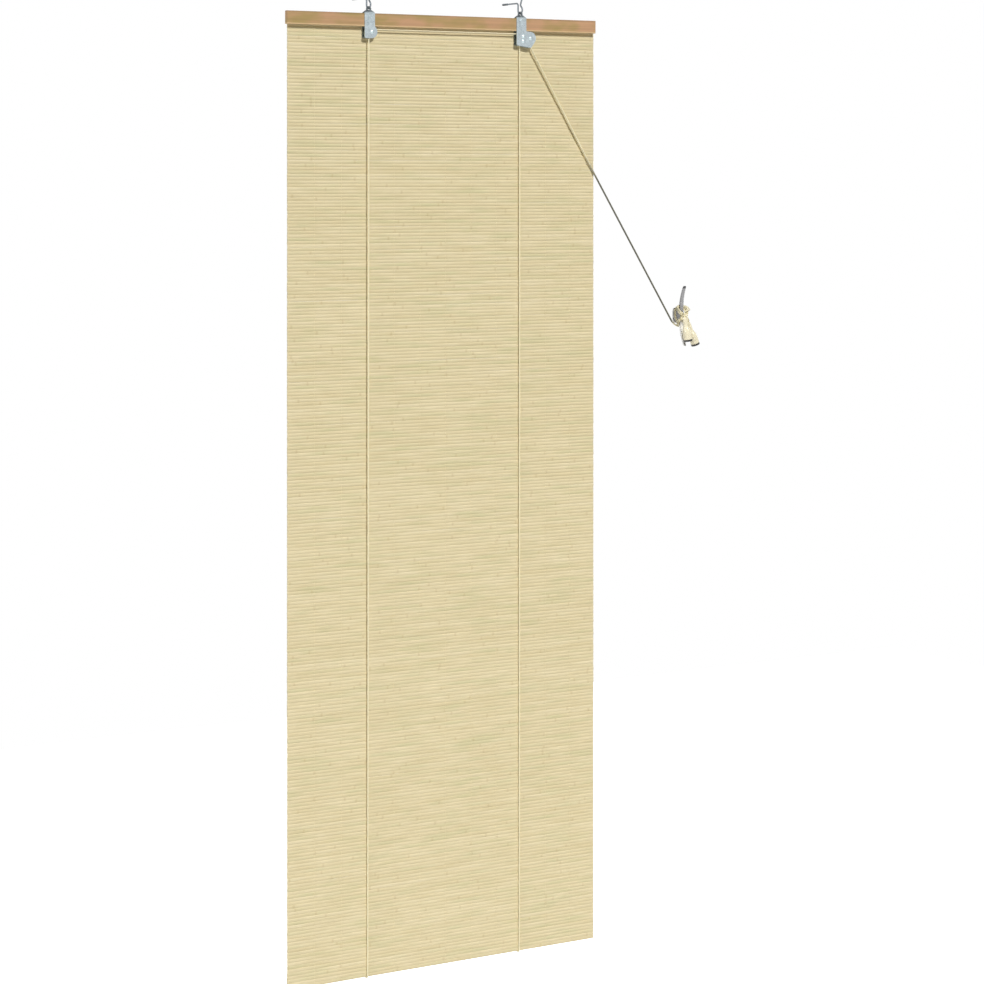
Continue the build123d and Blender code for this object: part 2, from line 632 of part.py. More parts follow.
with BuildPart() as cleat:
    add(cleat_bar())
    with BuildSketch(Plane.XZ):
        with Locations((CLEAT_X, CLEAT_Z)):
            SlotOverall(CLEAT_BASE_LENGTH, CLEAT_BASE_WIDTH, rotation=90)
    extrude(amount=CLEAT_BASE)
    with Locations(Plane.XZ.offset(CLEAT_HEIGHT)):
        with Locations(
            (CLEAT_X, CLEAT_Z - SCREW_HOLE_SPACING / 2),
            (CLEAT_X, CLEAT_Z + SCREW_HOLE_SPACING / 2),
        ):
            CounterSinkHole(SCREW_HOLE, SCREW_HEAD)
save(cleat.part, "cleat")

# Cord wound on the cleat, as the outer shape of its turns. The horns leave it on arcs that start at the body.
HORN_REACH = (CLEAT_LENGTH - CLEAT_BODY) / 2
HORN_RADIUS = (HORN_REACH**2 + CLEAT_FLARE**2) / (2 * CLEAT_FLARE)
HORN_SWING = ((WRAP_HEIGHT - CLEAT_BODY) / 2) ** 2 / (2 * HORN_RADIUS)
with BuildPart() as cord_wrap:
    with BuildSketch(Plane.XZ.offset(CLEAT_BASE + WRAP_BACK)):
        with Locations((CLEAT_X, CLEAT_Z)):
            SlotOverall(WRAP_HEIGHT, WRAP_WIDTH, rotation=90)
    extrude(amount=CLEAT_HEIGHT + WRAP_FRONT - CLEAT_BASE - WRAP_BACK)
    fillet(cord_wrap.edges(), WRAP_ROUND)
    with Locations((CLEAT_X, 0, CLEAT_Z)):
        Box(
            CLEAT_WIDTH + 2 * GAP,
            CLEAT_HEIGHT + GAP,
            CLEAT_BODY + 2 * GAP,
            align=(Align.CENTER, Align.MAX, Align.CENTER),
            mode=Mode.SUBTRACT,
        )
    with Locations((CLEAT_X, CLEAT_BAR + GAP - CLEAT_HEIGHT, CLEAT_Z)):
        Box(
            CLEAT_WIDTH + 2 * GAP,
            CLEAT_BAR + HORN_SWING + 2 * GAP,
            WRAP_HEIGHT + OVERRUN,
            align=(Align.CENTER, Align.MAX, Align.CENTER),
            mode=Mode.SUBTRACT,
        )
save(cord_wrap.part, "cord_wrap")


# Pulls: turned bells on the cords' ends, each with a knot in the cup below its bore
def from_cleat(place):
    """A place measured from the middle of the cleat on the wall."""
    return Vector(CLEAT_X, 0, CLEAT_Z) + Vector(place)


def pull_axis(place, lean):
    """The top of a pull whose lower end is at a place, and the way down its axis."""
    down = Vector(sin(radians(lean)), 0, -cos(radians(lean)))
    return from_cleat(place) - down * PULL_LENGTH, down


def cord_pull(place, lean):
    """A bell turned about its leaning axis, bored for the cord and cupped for the knot."""
    top, down = pull_axis(place, lean)
    flare = [(PULL_RADIUS * r, PULL_LENGTH * z) for z, r in PULL_FLARE_SHARES]
    with BuildPart() as bell:
        with BuildSketch(Plane(origin=top, x_dir=(0, 1, 0), z_dir=down.cross(Vector(0, 1, 0)) * -1)):
            with BuildLine():
                Line((PULL_BORE, 0), (PULL_NECK, 0))
                Spline((PULL_NECK, 0), *flare, (PULL_RADIUS, PULL_LENGTH))
                Polyline(
                    (PULL_RADIUS, PULL_LENGTH),
                    (PULL_CUP, PULL_LENGTH),
                    (PULL_CUP, PULL_LENGTH - PULL_CUP_DEPTH),
                    (PULL_BORE, PULL_LENGTH - PULL_CUP_DEPTH),
                    (PULL_BORE, 0),
                )
            make_face()
        revolve(axis=Axis(top, down))
    return bell.part


save(cord_pull(LEFT_PULL_PLACE, LEFT_PULL_LEAN), "left_pull")
save(cord_pull(RIGHT_PULL_PLACE, RIGHT_PULL_LEAN), "right_pull")


# Cord tails: out of the winding, into the pulls, and a knot in each cup
def cord_tail(name, first_places, pull_place, lean):
    """A short free end of cord that carries a pull."""
    top, down = pull_axis(pull_place, lean)
    knot = top + down * (PULL_LENGTH - PULL_CUP_DEPTH + KNOT_RADIUS + GAP)
    points = [from_cleat(place) for place in first_places] + [top - down * PULL_LEAD, knot]
    radii = corner_radii(points)
    print(name, "radii", [round(radius, 1) for radius in radii])
    with BuildLine() as route:
        FilletPolyline(*points, radius=radii)
    with BuildPart() as tail:
        add(tube(route.wire()))
        with Locations(knot):
            Sphere(KNOT_RADIUS)
    save(tail.part, name)


cord_tail("left_cord_tail", LEFT_TAIL_PLACES, LEFT_PULL_PLACE, LEFT_PULL_LEAN)
cord_tail("right_cord_tail", RIGHT_TAIL_PLACES, RIGHT_PULL_PLACE, RIGHT_PULL_LEAN)
print("lift cord radii", EDGE_TURN, EDGE_TURN, "pull cord radii", CORD_LINE, EXIT_TURN)
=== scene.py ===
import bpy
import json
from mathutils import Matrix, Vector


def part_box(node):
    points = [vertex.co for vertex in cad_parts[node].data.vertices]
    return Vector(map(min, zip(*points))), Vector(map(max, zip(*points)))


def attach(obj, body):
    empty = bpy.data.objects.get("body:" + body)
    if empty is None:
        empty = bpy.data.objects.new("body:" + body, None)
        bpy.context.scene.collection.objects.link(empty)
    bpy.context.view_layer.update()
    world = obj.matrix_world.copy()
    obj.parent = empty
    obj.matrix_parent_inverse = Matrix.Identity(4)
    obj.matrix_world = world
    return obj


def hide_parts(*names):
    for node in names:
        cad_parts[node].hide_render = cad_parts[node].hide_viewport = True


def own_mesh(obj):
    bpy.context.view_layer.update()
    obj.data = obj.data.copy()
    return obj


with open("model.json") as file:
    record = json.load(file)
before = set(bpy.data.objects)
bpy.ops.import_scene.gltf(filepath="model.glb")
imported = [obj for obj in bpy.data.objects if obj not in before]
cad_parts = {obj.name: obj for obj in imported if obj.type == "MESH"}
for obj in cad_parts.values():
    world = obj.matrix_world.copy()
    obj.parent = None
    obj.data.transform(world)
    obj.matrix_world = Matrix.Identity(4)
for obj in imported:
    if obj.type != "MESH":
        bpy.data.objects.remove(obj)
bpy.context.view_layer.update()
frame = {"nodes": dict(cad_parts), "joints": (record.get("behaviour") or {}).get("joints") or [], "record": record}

import json
from math import acos, atan2, cos, hypot, pi, radians, sin, tau

import bpy
import numpy as np
from bpy.props import FloatProperty, FloatVectorProperty, IntProperty, PointerProperty
from mathutils import Vector

bl_info = {
    "name": "Bamboo roll-up blind",
    "version": (1, 0, 0),
    "blender": (4, 5, 0),
    "location": "View3D > Sidebar > Blind",
    "description": "Dresses a roll-up blind of split bamboo with its cords, hardware and studio",
    "category": "Object",
}

MM = 0.001

# Places read from the frame, in metres
JOINTS = {joint["name"]: joint for joint in frame["joints"]}
MOUNTS = {mount["name"]: mount for mount in frame["record"]["mounts"]}
MAT_LOW, MAT_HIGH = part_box("mat")
RAIL_LOW, RAIL_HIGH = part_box("head_rail")
BATTEN_LOW, BATTEN_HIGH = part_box("bottom_batten")
LEFT_AXLE = Vector(JOINTS["left_pulley_turn"]["pos_m"])
RIGHT_AXLE = Vector(JOINTS["right_pulley_turn"]["pos_m"])
CLEAT = Vector(MOUNTS["cleat_screws"]["pos_m"])
MAT_CENTRE = (MAT_HIGH.x + MAT_LOW.x) / 2
MAT_HALF = (MAT_HIGH.x - MAT_LOW.x) / 2
MAT_MIDDLE = (MAT_HIGH.y + MAT_LOW.y) / 2
MAT_DEEP = (MAT_HIGH.y - MAT_LOW.y) / 2  # half of its thickness


def linear(code):
    """An sRGB hex colour as linear red, green, blue and alpha."""
    parts = np.array([int(code[place : place + 2], 16) for place in (1, 3, 5)]) / 255
    parts = np.where(parts <= 0.04045, parts / 12.92, ((parts + 0.055) / 1.055) ** 2.4)
    return (*parts.tolist(), 1.0)


# What a user would change


def length(name, description, default):
    """A size in metres, shown with its unit."""
    return FloatProperty(name=name, description=description, default=default, unit="LENGTH", precision=5)


def number(name, description, default):
    """A plain number."""
    return FloatProperty(name=name, description=description, default=default)


def slant(name, description, degrees):
    """An angle, written in degrees."""
    return FloatProperty(name=name, description=description, default=radians(degrees), subtype="ANGLE")


def colour(name, description, code):
    """A colour for the picker, written as an sRGB hex value."""
    return FloatVectorProperty(
        name=name, description=description, default=linear(code), subtype="COLOR", size=4
    )


class BlindSizes(bpy.types.PropertyGroup):
    """Sizes of the pieces that dress the frame."""

    stick_pitch: length("Stick pitch", "From one bamboo stick to the next", 5.51 * MM)
    warp_pitch: length("Warp pitch", "From one row of warp thread to the next", 50 * MM)
    thread: length("Warp thread", "Diameter of the thread that binds the sticks", 0.5 * MM)
    cord: length("Cord", "Diameter of the braided cord", 2 * MM)
    screw_pitch: length("Screw pitch", "From one thread of a hook's screw to the next", 1.3 * MM)
    seed: IntProperty(name="Seed", description="Draws the sticks' own variation", default=7)


class BlindColours(bpy.types.PropertyGroup):
    """Colours of the finishes."""

    bamboo_light: colour("Bamboo, light", "Pale split sticks", "#EEE1BC")
    bamboo_dark: colour("Bamboo, dark", "Deeper split sticks", "#D9C99C")
    bamboo_green: colour("Bamboo, green", "Greener stretches of a stick", "#D4CDA0")
    bamboo_node: colour("Bamboo node", "Rings where a leaf grew", "#C0A873")
    rail: colour("Rail", "Planed lath", "#C79C76")
    rail_grain: colour("Rail grain", "Late wood in the lath", "#AE945E")
    # Painted highlight: the paler lower edge of the lath stands in for light on its rounded edge
    rail_edge_highlight: colour("Rail edge", "Paler lower edge of the lath", "#DDBE90")
    cord: colour("Cord", "Cotton braid", "#FCF3D0")
    cord_grey: colour("Cord, grey", "Free run between the mat and the cleat", "#7C7B6D")
    zinc: colour("Zinc", "Bright plating", "#B9C4C8")
    wire: colour("Wire", "Drawn wire of hooks and staples", "#777D82")
    rivet: colour("Rivets", "Bright rivet heads", "#C6D4D6")
    alloy: colour("Cleat alloy", "Die-cast cleat", "#A3A3A5")
    # Painted highlight on the lower horn; the same pale colour also makes the foot pale
    alloy_pale_highlight: colour("Alloy, pale", "Lower horn and foot of the cleat", "#F3F3F1")
    alloy_dark: colour("Alloy, dark", "Upper tip of the cleat", "#4A4A4C")
    lacquer: colour("Pull", "Turned and lacquered wood", "#FBF2D2")
    # Painted shade: the dark band at a pull's foot stands for the shaded hollow under it
    rim_shade: colour("Dark rim", "Rim at the foot of a pull", "#120E0A")
    nylon: colour("Pulley", "Moulded pulley", "#D9D4C2")


class BlindStage(bpy.types.PropertyGroup):
    """Camera, floor and light."""

    lens: FloatProperty(name="Lens", description="Focal length in millimetres", default=102.0, unit="CAMERA")
    yaw: slant("Yaw", "Camera's turn to the right", 31.557)
    shift: number("Shift", "Vertical shift of the view", -0.3232)
    floor: length("Floor", "Height of the floor under the screws", -2.5)
    key: number("Key", "Strength of the key light", 2.6)
    key_spread: slant("Key spread", "Angle that the key light fills", 3.5)
    side: number("Side", "Strength of the light along the wall", 1.4)
    side_spread: slant("Side spread", "Angle that the side light fills", 30)
    fill: number("Fill", "Strength of the sky on the object", 0.08)


# Meshes


def put_mesh(name, points, faces, material, body, slot, crease=50.0, uv=None, **attributes):
    """Makes one piece from whole arrays of points and faces, with one float per point for each attribute and,
    for some, a UV pair for each face corner."""
    mesh = bpy.data.meshes.new(name)
    mesh.from_pydata(np.asarray(points, float).reshape(-1, 3).tolist(), [], faces)
    for title, values in attributes.items():
        layer = mesh.attributes.new(title, "FLOAT", "POINT")
        layer.data.foreach_set("value", np.asarray(values, np.float32).ravel())
    if uv is not None:
        mesh.uv_layers.new(name="run_and_turn").uv.foreach_set("vector", np.asarray(uv, np.float32).ravel())
    mesh.polygons.foreach_set("use_smooth", np.full(len(mesh.polygons), True))
    mesh.set_sharp_from_angle(angle=radians(crease))
    mesh.materials.append(material)
    piece = bpy.data.objects.new(name, mesh)
    bpy.context.scene.collection.objects.link(piece)
    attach(piece, body)
    return piece


def tube_faces(tubes, rings, sides):
    """Quads of closed tubes whose points run tube by tube, ring by ring, and one cap at each end."""
    index = np.arange(tubes * rings * sides).reshape(tubes, rings, sides)
    near, far = index[:, :-1], index[:, 1:]
    quads = np.stack([near, np.roll(near, -1, 2), np.roll(far, -1, 2), far], -1).reshape(-1, 4)
    caps = np.concatenate([index[:, 0, ::-1], index[:, -1]])
    return quads.tolist() + caps.tolist()


def tube_points(path, radius, sides, across):
    """Rings round a path. Each is a circle spanned by the tangent's cross product with a fixed direction, and
    by that vector's own cross product with the tangent."""
    path = np.asarray(path, float)
    tangent = np.gradient(path, axis=0)
    tangent /= np.linalg.norm(tangent, axis=1, keepdims=True)
    side = np.cross(tangent, across)
    side /= np.linalg.norm(side, axis=1, keepdims=True)
    rise = np.cross(side, tangent)
    angle = np.linspace(0, tau, sides, endpoint=False)[None, :, None]
    radius = np.broadcast_to(radius, len(path))[:, None, None]
    return path[:, None] + radius * (np.cos(angle) * rise[:, None] + np.sin(angle) * side[:, None])


def spline_line(points, steps=10):
    """The points of a smooth line: a NURBS spline of order 3 with the route's points for control points."""
    curve = bpy.data.curves.new("route", "CURVE")
    curve.dimensions = "3D"
    curve.resolution_u = steps
    spline = curve.splines.new("NURBS")
    spline.points.add(len(points) - 1)
    spline.points.foreach_set("co", np.column_stack([points, np.ones(len(points))]).ravel())
    spline.order_u = 3
    spline.use_endpoint_u = True
    route = bpy.data.objects.new("route", curve)
    mesh = bpy.data.meshes.new_from_object(route)
    line = np.zeros(len(mesh.vertices) * 3)
    mesh.vertices.foreach_get("co", line)
    bpy.data.meshes.remove(mesh)
    bpy.data.objects.remove(route)
    bpy.data.curves.remove(curve)
    return line.reshape(-1, 3)


def run_length(line):
    """The length from a line's start to each of its points."""
    steps = np.linalg.norm(np.diff(line, axis=0), axis=1)
    return np.concatenate([[0], np.cumsum(steps)])


# Materials

# Where a finish fades into another: the place where the fade starts and the place where it ends
LATH_TOP = -3.5 * MM, 0.0  # to the darker top edge, from a lath's top
LATH_FOOT_HIGHLIGHT = 2.8 * MM, 1.6 * MM  # to the painted highlight along the lower edge, from a lath's foot
TAB_SHADE_START = 0.5 * MM  # painted shade on a strap starts this far above the rail
TAB_FADE = 2 * MM
NEVER_SHADED = 1.0  # a height above all pieces, so that no painted shade shows
CLEAT_TIP = CLEAT.z + 48 * MM, CLEAT.z + 50 * MM  # to the dark upper tip
CLEAT_HIGHLIGHT = CLEAT.z - 8 * MM, CLEAT.z - 20 * MM  # to the painted highlight along the lower horn
CLEAT_FOOT = -3.6 * MM, -2.9 * MM  # to the pale foot, from the wall
GREY_START = MAT_HIGH.x - 20 * MM, MAT_HIGH.x + 5 * MM  # to the grey run of the pull cords
GREY_END = CLEAT.x - 14 * MM, CLEAT.x - 9 * MM  # back to the pale cord
RIM_SHADE_FADE = -4.2 * MM, -3.0 * MM  # to the painted shade at the foot, down from a pull's foot
SPANGLE = 1.2 * MM  # width of a spangle in the zinc
PLY = 0.8 * MM  # from one ply of the warp thread to the next
STRANDS = 4  # strands of the braid that run each way
STRAND_TURN = 9 * MM  # cord in which a strand goes once round


def add(tree, kind, inputs=None, **settings):
    """Adds one node, with its settings, and fills its inputs from values or from other nodes' outputs."""
    node = tree.nodes.new(kind)
    for name, value in settings.items():
        setattr(node, name, value)
    for socket, value in (inputs or {}).items():
        if isinstance(value, bpy.types.NodeSocket):
            tree.links.new(value, node.inputs[socket])
        else:
            node.inputs[socket].default_value = value
    return node


def start(name, **sockets):
    """A new material and its shader, with the values that are the same all over set on the shader."""
    material = bpy.data.materials.new(name)
    material.use_nodes = True
    shader = material.node_tree.nodes["Principled BSDF"]
    for socket, value in sockets.items():
        shader.inputs[socket.replace("_", " ")].default_value = value
    return material, material.node_tree, shader


def split_bamboo(colours):
    """Split bamboo, unvarnished: every stick has its own tone that drifts along its length, with greener
    stretches, fine fibres that run along it and a faint ring at each node."""
    material, tree, shader = start("split_bamboo", Roughness=0.7, IOR=1.45)
    tone = add(tree, "ShaderNodeAttribute", attribute_name="tone").outputs["Fac"]
    strand = add(tree, "ShaderNodeAttribute", attribute_name="strand").outputs["Fac"]
    ring = add(tree, "ShaderNodeAttribute", attribute_name="ring").outputs["Fac"]
    place = add(tree, "ShaderNodeTexCoord").outputs["Object"]
    along = add(tree, "ShaderNodeSeparateXYZ", {0: place}).outputs["X"]
    lane = add(tree, "ShaderNodeCombineXYZ", {"X": along, "Y": strand}).outputs[0]
    # Tones drift over some 60 mm of a stick, and greener stretches are some 100 mm long
    drift = add(tree, "ShaderNodeTexNoise", {"Vector": lane, "Scale": 16.0, "Detail": 3.0}).outputs["Fac"]
    patch = add(tree, "ShaderNodeMapRange", {0: drift, 1: 0.32, 2: 0.68, 3: -0.2, 4: 0.2}).outputs[0]
    mixed = add(tree, "ShaderNodeMath", {0: tone, 1: patch}, operation="ADD", use_clamp=True).outputs[0]
    body = add(
        tree,
        "ShaderNodeMix",
        {0: mixed, 6: tuple(colours.bamboo_dark), 7: tuple(colours.bamboo_light)},
        data_type="RGBA",
    ).outputs[2]
    ripeness = add(tree, "ShaderNodeTexNoise", {"Vector": lane, "Scale": 10.0, "Detail": 2.0}).outputs["Fac"]
    unripe = add(tree, "ShaderNodeMapRange", {0: ripeness, 1: 0.5, 2: 0.7, 3: 0.0, 4: 0.7}).outputs[0]
    greened = add(
        tree, "ShaderNodeMix", {0: unripe, 6: body, 7: tuple(colours.bamboo_green)}, data_type="RGBA"
    ).outputs[2]
    # Fibres are 0.4 mm apart and some 50 mm long
    stretch = add(tree, "ShaderNodeMapping", {"Vector": place, "Scale": (20, 900, 2500)}).outputs[0]
    fibre = add(tree, "ShaderNodeTexNoise", {"Vector": stretch, "Scale": 1.0, "Detail": 2.0}).outputs["Fac"]
    streak = add(tree, "ShaderNodeMapRange", {0: fibre, 1: 0.3, 2: 0.7, 3: 0.92, 4: 1.05}).outputs[0]
    streaked = add(tree, "ShaderNodeVectorMath", {0: greened, "Scale": streak}, operation="SCALE").outputs[0]
    marked = add(
        tree, "ShaderNodeMix", {0: ring, 6: streaked, 7: tuple(colours.bamboo_node)}, data_type="RGBA"
    ).outputs[2]
    bump = add(tree, "ShaderNodeBump", {"Height": fibre, "Strength": 0.35, "Distance": 0.15 * MM}).outputs[0]
    tree.links.new(marked, shader.inputs["Base Color"])
    tree.links.new(bump, shader.inputs["Normal"])
    return material


def cotton_thread(colours):
    """Spun cotton warp thread: matt, with a slanting ply, and so pale that it hardly shows on bamboo."""
    material, tree, shader = start("cotton_thread", Roughness=0.85, IOR=1.5)
    place = add(tree, "ShaderNodeTexCoord").outputs["Object"]
    turned = add(tree, "ShaderNodeMapping", {"Vector": place, "Rotation": (0, radians(40), 0)}).outputs[0]
    # A wave texture of scale 1 repeats every tau / 20
    ply = add(tree, "ShaderNodeTexWave", {"Vector": turned, "Scale": tau / (20 * PLY)}).outputs["Fac"]
    shade = add(tree, "ShaderNodeMapRange", {0: ply, 3: 0.92, 4: 1.06}).outputs[0]
    tint = add(
        tree, "ShaderNodeVectorMath", {0: tuple(colours.bamboo_light)[:3], "Scale": shade}, operation="SCALE"
    ).outputs[0]
    tree.links.new(tint, shader.inputs["Base Color"])
    return material


def planed_lath(name, base, grain, edge, low, high):
    """Planed, unvarnished hardwood: pinkish and olive stretches, fine grain along it, a soft sheen, a darker
    top edge and a painted highlight along the bottom edge."""
    material, tree, shader = start(name, Roughness=0.5, IOR=1.5)
    place = add(tree, "ShaderNodeTexCoord").outputs["Object"]
    # Stretches are some 50 mm long, and grain lines 2 mm apart
    broad = add(tree, "ShaderNodeMapping", {"Vector": place, "Scale": (20, 20, 45)}).outputs[0]
    blush = add(tree, "ShaderNodeTexNoise", {"Vector": broad, "Scale": 1.0, "Detail": 2.0}).outputs["Fac"]
    share = add(tree, "ShaderNodeMapRange", {0: blush, 1: 0.38, 2: 0.62}).outputs[0]
    wood = add(tree, "ShaderNodeMix", {0: share, 6: base, 7: grain}, data_type="RGBA").outputs[2]
    stretch = add(tree, "ShaderNodeMapping", {"Vector": place, "Scale": (6, 500, 500)}).outputs[0]
    figure = add(
        tree, "ShaderNodeTexNoise", {"Vector": stretch, "Scale": 1.0, "Detail": 3.0, "Distortion": 0.6}
    ).outputs["Fac"]
    lines = add(tree, "ShaderNodeMapRange", {0: figure, 1: 0.3, 2: 0.7, 3: 0.86, 4: 1.08}).outputs[0]
    height = add(tree, "ShaderNodeSeparateXYZ", {0: place}).outputs["Z"]
    top_edge = add(
        tree, "ShaderNodeMapRange", {0: height, 1: high + LATH_TOP[0], 2: high + LATH_TOP[1], 3: 1.0, 4: 0.68}
    ).outputs[0]
    level = add(tree, "ShaderNodeMath", {0: lines, 1: top_edge}, operation="MULTIPLY").outputs[0]
    lined = add(tree, "ShaderNodeVectorMath", {0: wood, "Scale": level}, operation="SCALE").outputs[0]
    # Painted highlight: paler colour along the lath's lower edge
    lower_highlight = add(
        tree, "ShaderNodeMapRange", {0: height, 1: low + LATH_FOOT_HIGHLIGHT[0], 2: low + LATH_FOOT_HIGHLIGHT[1]}
    ).outputs[0]
    highlighted = add(tree, "ShaderNodeMix", {0: lower_highlight, 6: lined, 7: edge}, data_type="RGBA").outputs[2]
    fine = add(tree, "ShaderNodeMapping", {"Vector": place, "Scale": (40, 2000, 2000)}).outputs[0]
    pore = add(tree, "ShaderNodeTexNoise", {"Vector": fine, "Scale": 1.0, "Detail": 2.0}).outputs["Fac"]
    bump = add(tree, "ShaderNodeBump", {"Height": pore, "Strength": 0.3, "Distance": 0.1 * MM}).outputs[0]
    tree.links.new(highlighted, shader.inputs["Base Color"])
    tree.links.new(bump, shader.inputs["Normal"])
    return material


def zinc_plate(name, base, rough, shade_above=NEVER_SHADED):
    """Steel with bright zinc plate: a bluish metal with a fine spangle that breaks up its reflections, and
    painted shade that darkens it above a height."""
    material, tree, shader = start(name, Metallic=1.0)
    place = add(tree, "ShaderNodeTexCoord").outputs["Object"]
    spangle = add(tree, "ShaderNodeTexVoronoi", {"Vector": place, "Scale": 1 / SPANGLE}).outputs["Color"]
    level = add(tree, "ShaderNodeSeparateXYZ", {0: spangle}).outputs["X"]
    gloss = add(tree, "ShaderNodeMapRange", {0: level, 3: rough - 0.06, 4: rough + 0.1}).outputs[0]
    cloud = add(tree, "ShaderNodeTexNoise", {"Vector": place, "Scale": 180.0, "Detail": 3.0}).outputs["Fac"]
    mottle = add(tree, "ShaderNodeMapRange", {0: cloud, 1: 0.3, 2: 0.7, 3: 0.82, 4: 1.05}).outputs[0]
    height = add(tree, "ShaderNodeSeparateXYZ", {0: place}).outputs["Z"]
    # Painted shade: the metal darkens above the given height
    painted_shade = add(
        tree, "ShaderNodeMapRange", {0: height, 1: shade_above, 2: shade_above + TAB_FADE, 3: 1.0, 4: 0.36}
    ).outputs[0]
    shade = add(tree, "ShaderNodeMath", {0: mottle, 1: painted_shade}, operation="MULTIPLY").outputs[0]
    tint = add(
        tree, "ShaderNodeVectorMath", {0: tuple(base)[:3], "Scale": shade}, operation="SCALE"
    ).outputs[0]
    bump = add(tree, "ShaderNodeBump", {"Height": cloud, "Strength": 0.12, "Distance": 0.2 * MM}).outputs[0]
    tree.links.new(tint, shader.inputs["Base Color"])
    tree.links.new(gloss, shader.inputs["Roughness"])
    tree.links.new(bump, shader.inputs["Normal"])
    return material


def cast_alloy(colours):
    """Die-cast alloy with a satin skin, in the tones that the photo shows: grey, dark at the upper tip, with a
    painted highlight along the lower horn, and pale at the foot."""
    material, tree, shader = start("cast_alloy", Roughness=0.42, Metallic=0.25, IOR=1.5)
    place = add(tree, "ShaderNodeTexCoord").outputs["Object"]
    sides = add(tree, "ShaderNodeSeparateXYZ", {0: place}).outputs
    cloud = add(tree, "ShaderNodeTexNoise", {"Vector": place, "Scale": 260.0, "Detail": 3.0}).outputs["Fac"]
    mottle = add(tree, "ShaderNodeMapRange", {0: cloud, 1: 0.3, 2: 0.7, 3: 0.88, 4: 1.08}).outputs[0]
    tip = add(tree, "ShaderNodeMapRange", {0: sides["Z"], 1: CLEAT_TIP[0], 2: CLEAT_TIP[1]}).outputs[0]
    # Painted highlight: paler along the lower horn, as if lit from above
    low = add(tree, "ShaderNodeMapRange", {0: sides["Z"], 1: CLEAT_HIGHLIGHT[0], 2: CLEAT_HIGHLIGHT[1]}).outputs[0]
    foot = add(tree, "ShaderNodeMapRange", {0: sides["Y"], 1: CLEAT_FOOT[0], 2: CLEAT_FOOT[1]}).outputs[0]
    pale = add(tree, "ShaderNodeMath", {0: low, 1: foot}, operation="MAXIMUM").outputs[0]
    skin = add(
        tree,
        "ShaderNodeMix",
        {0: pale, 6: tuple(colours.alloy), 7: tuple(colours.alloy_pale_highlight)},
        data_type="RGBA",
    ).outputs[2]
    tipped = add(
        tree, "ShaderNodeMix", {0: tip, 6: skin, 7: tuple(colours.alloy_dark)}, data_type="RGBA"
    ).outputs[2]
    tint = add(tree, "ShaderNodeVectorMath", {0: tipped, "Scale": mottle}, operation="SCALE").outputs[0]
    bump = add(tree, "ShaderNodeBump", {"Height": cloud, "Strength": 0.15, "Distance": 0.2 * MM}).outputs[0]
    tree.links.new(tint, shader.inputs["Base Color"])
    tree.links.new(bump, shader.inputs["Normal"])
    return material


def cotton_braid(colours):
    """Braided cotton cord: matt, with two sets of strands that cross on the slant and shadows between them,
    and grey along its free run between the mat's edge and the cleat, as the photo shows it."""
    material, tree, shader = start("cotton_braid", Roughness=0.8, IOR=1.5)
    place = add(tree, "ShaderNodeTexCoord").outputs["Object"]
    along = add(tree, "ShaderNodeSeparateXYZ", {0: place}).outputs["X"]
    lay = add(tree, "ShaderNodeSeparateXYZ", {0: add(tree, "ShaderNodeUVMap").outputs["UV"]}).outputs
    step = STRAND_TURN / STRANDS
    pitch = add(tree, "ShaderNodeMath", {0: lay["X"], 1: tau / step}, operation="MULTIPLY").outputs[0]
    strands = add(tree, "ShaderNodeMath", {0: lay["Y"], 1: STRANDS * tau}, operation="MULTIPLY").outputs[0]
    one = add(tree, "ShaderNodeMath", {0: pitch, 1: strands}, operation="ADD").outputs[0]
    other = add(tree, "ShaderNodeMath", {0: pitch, 1: strands}, operation="SUBTRACT").outputs[0]
    first = add(tree, "ShaderNodeMath", {0: one}, operation="SINE").outputs[0]
    second = add(tree, "ShaderNodeMath", {0: other}, operation="SINE").outputs[0]
    relief = add(tree, "ShaderNodeMath", {0: first, 1: second}, operation="MAXIMUM").outputs[0]
    shade = add(tree, "ShaderNodeMapRange", {0: relief, 1: -0.4, 2: 0.9, 3: 0.82, 4: 1.0}).outputs[0]
    past_mat = add(tree, "ShaderNodeMapRange", {0: along, 1: GREY_START[0], 2: GREY_START[1]}).outputs[0]
    to_cleat = add(
        tree, "ShaderNodeMapRange", {0: along, 1: GREY_END[0], 2: GREY_END[1], 3: 1.0, 4: 0.0}
    ).outputs[0]
    greyed = add(tree, "ShaderNodeMath", {0: past_mat, 1: to_cleat}, operation="MULTIPLY").outputs[0]
    cotton = add(
        tree,
        "ShaderNodeMix",
        {0: greyed, 6: tuple(colours.cord), 7: tuple(colours.cord_grey)},
        data_type="RGBA",
    ).outputs[2]
    tint = add(tree, "ShaderNodeVectorMath", {0: cotton, "Scale": shade}, operation="SCALE").outputs[0]
    bump = add(tree, "ShaderNodeBump", {"Height": relief, "Strength": 0.5, "Distance": 0.15 * MM}).outputs[0]
    tree.links.new(tint, shader.inputs["Base Color"])
    tree.links.new(bump, shader.inputs["Normal"])
    return material


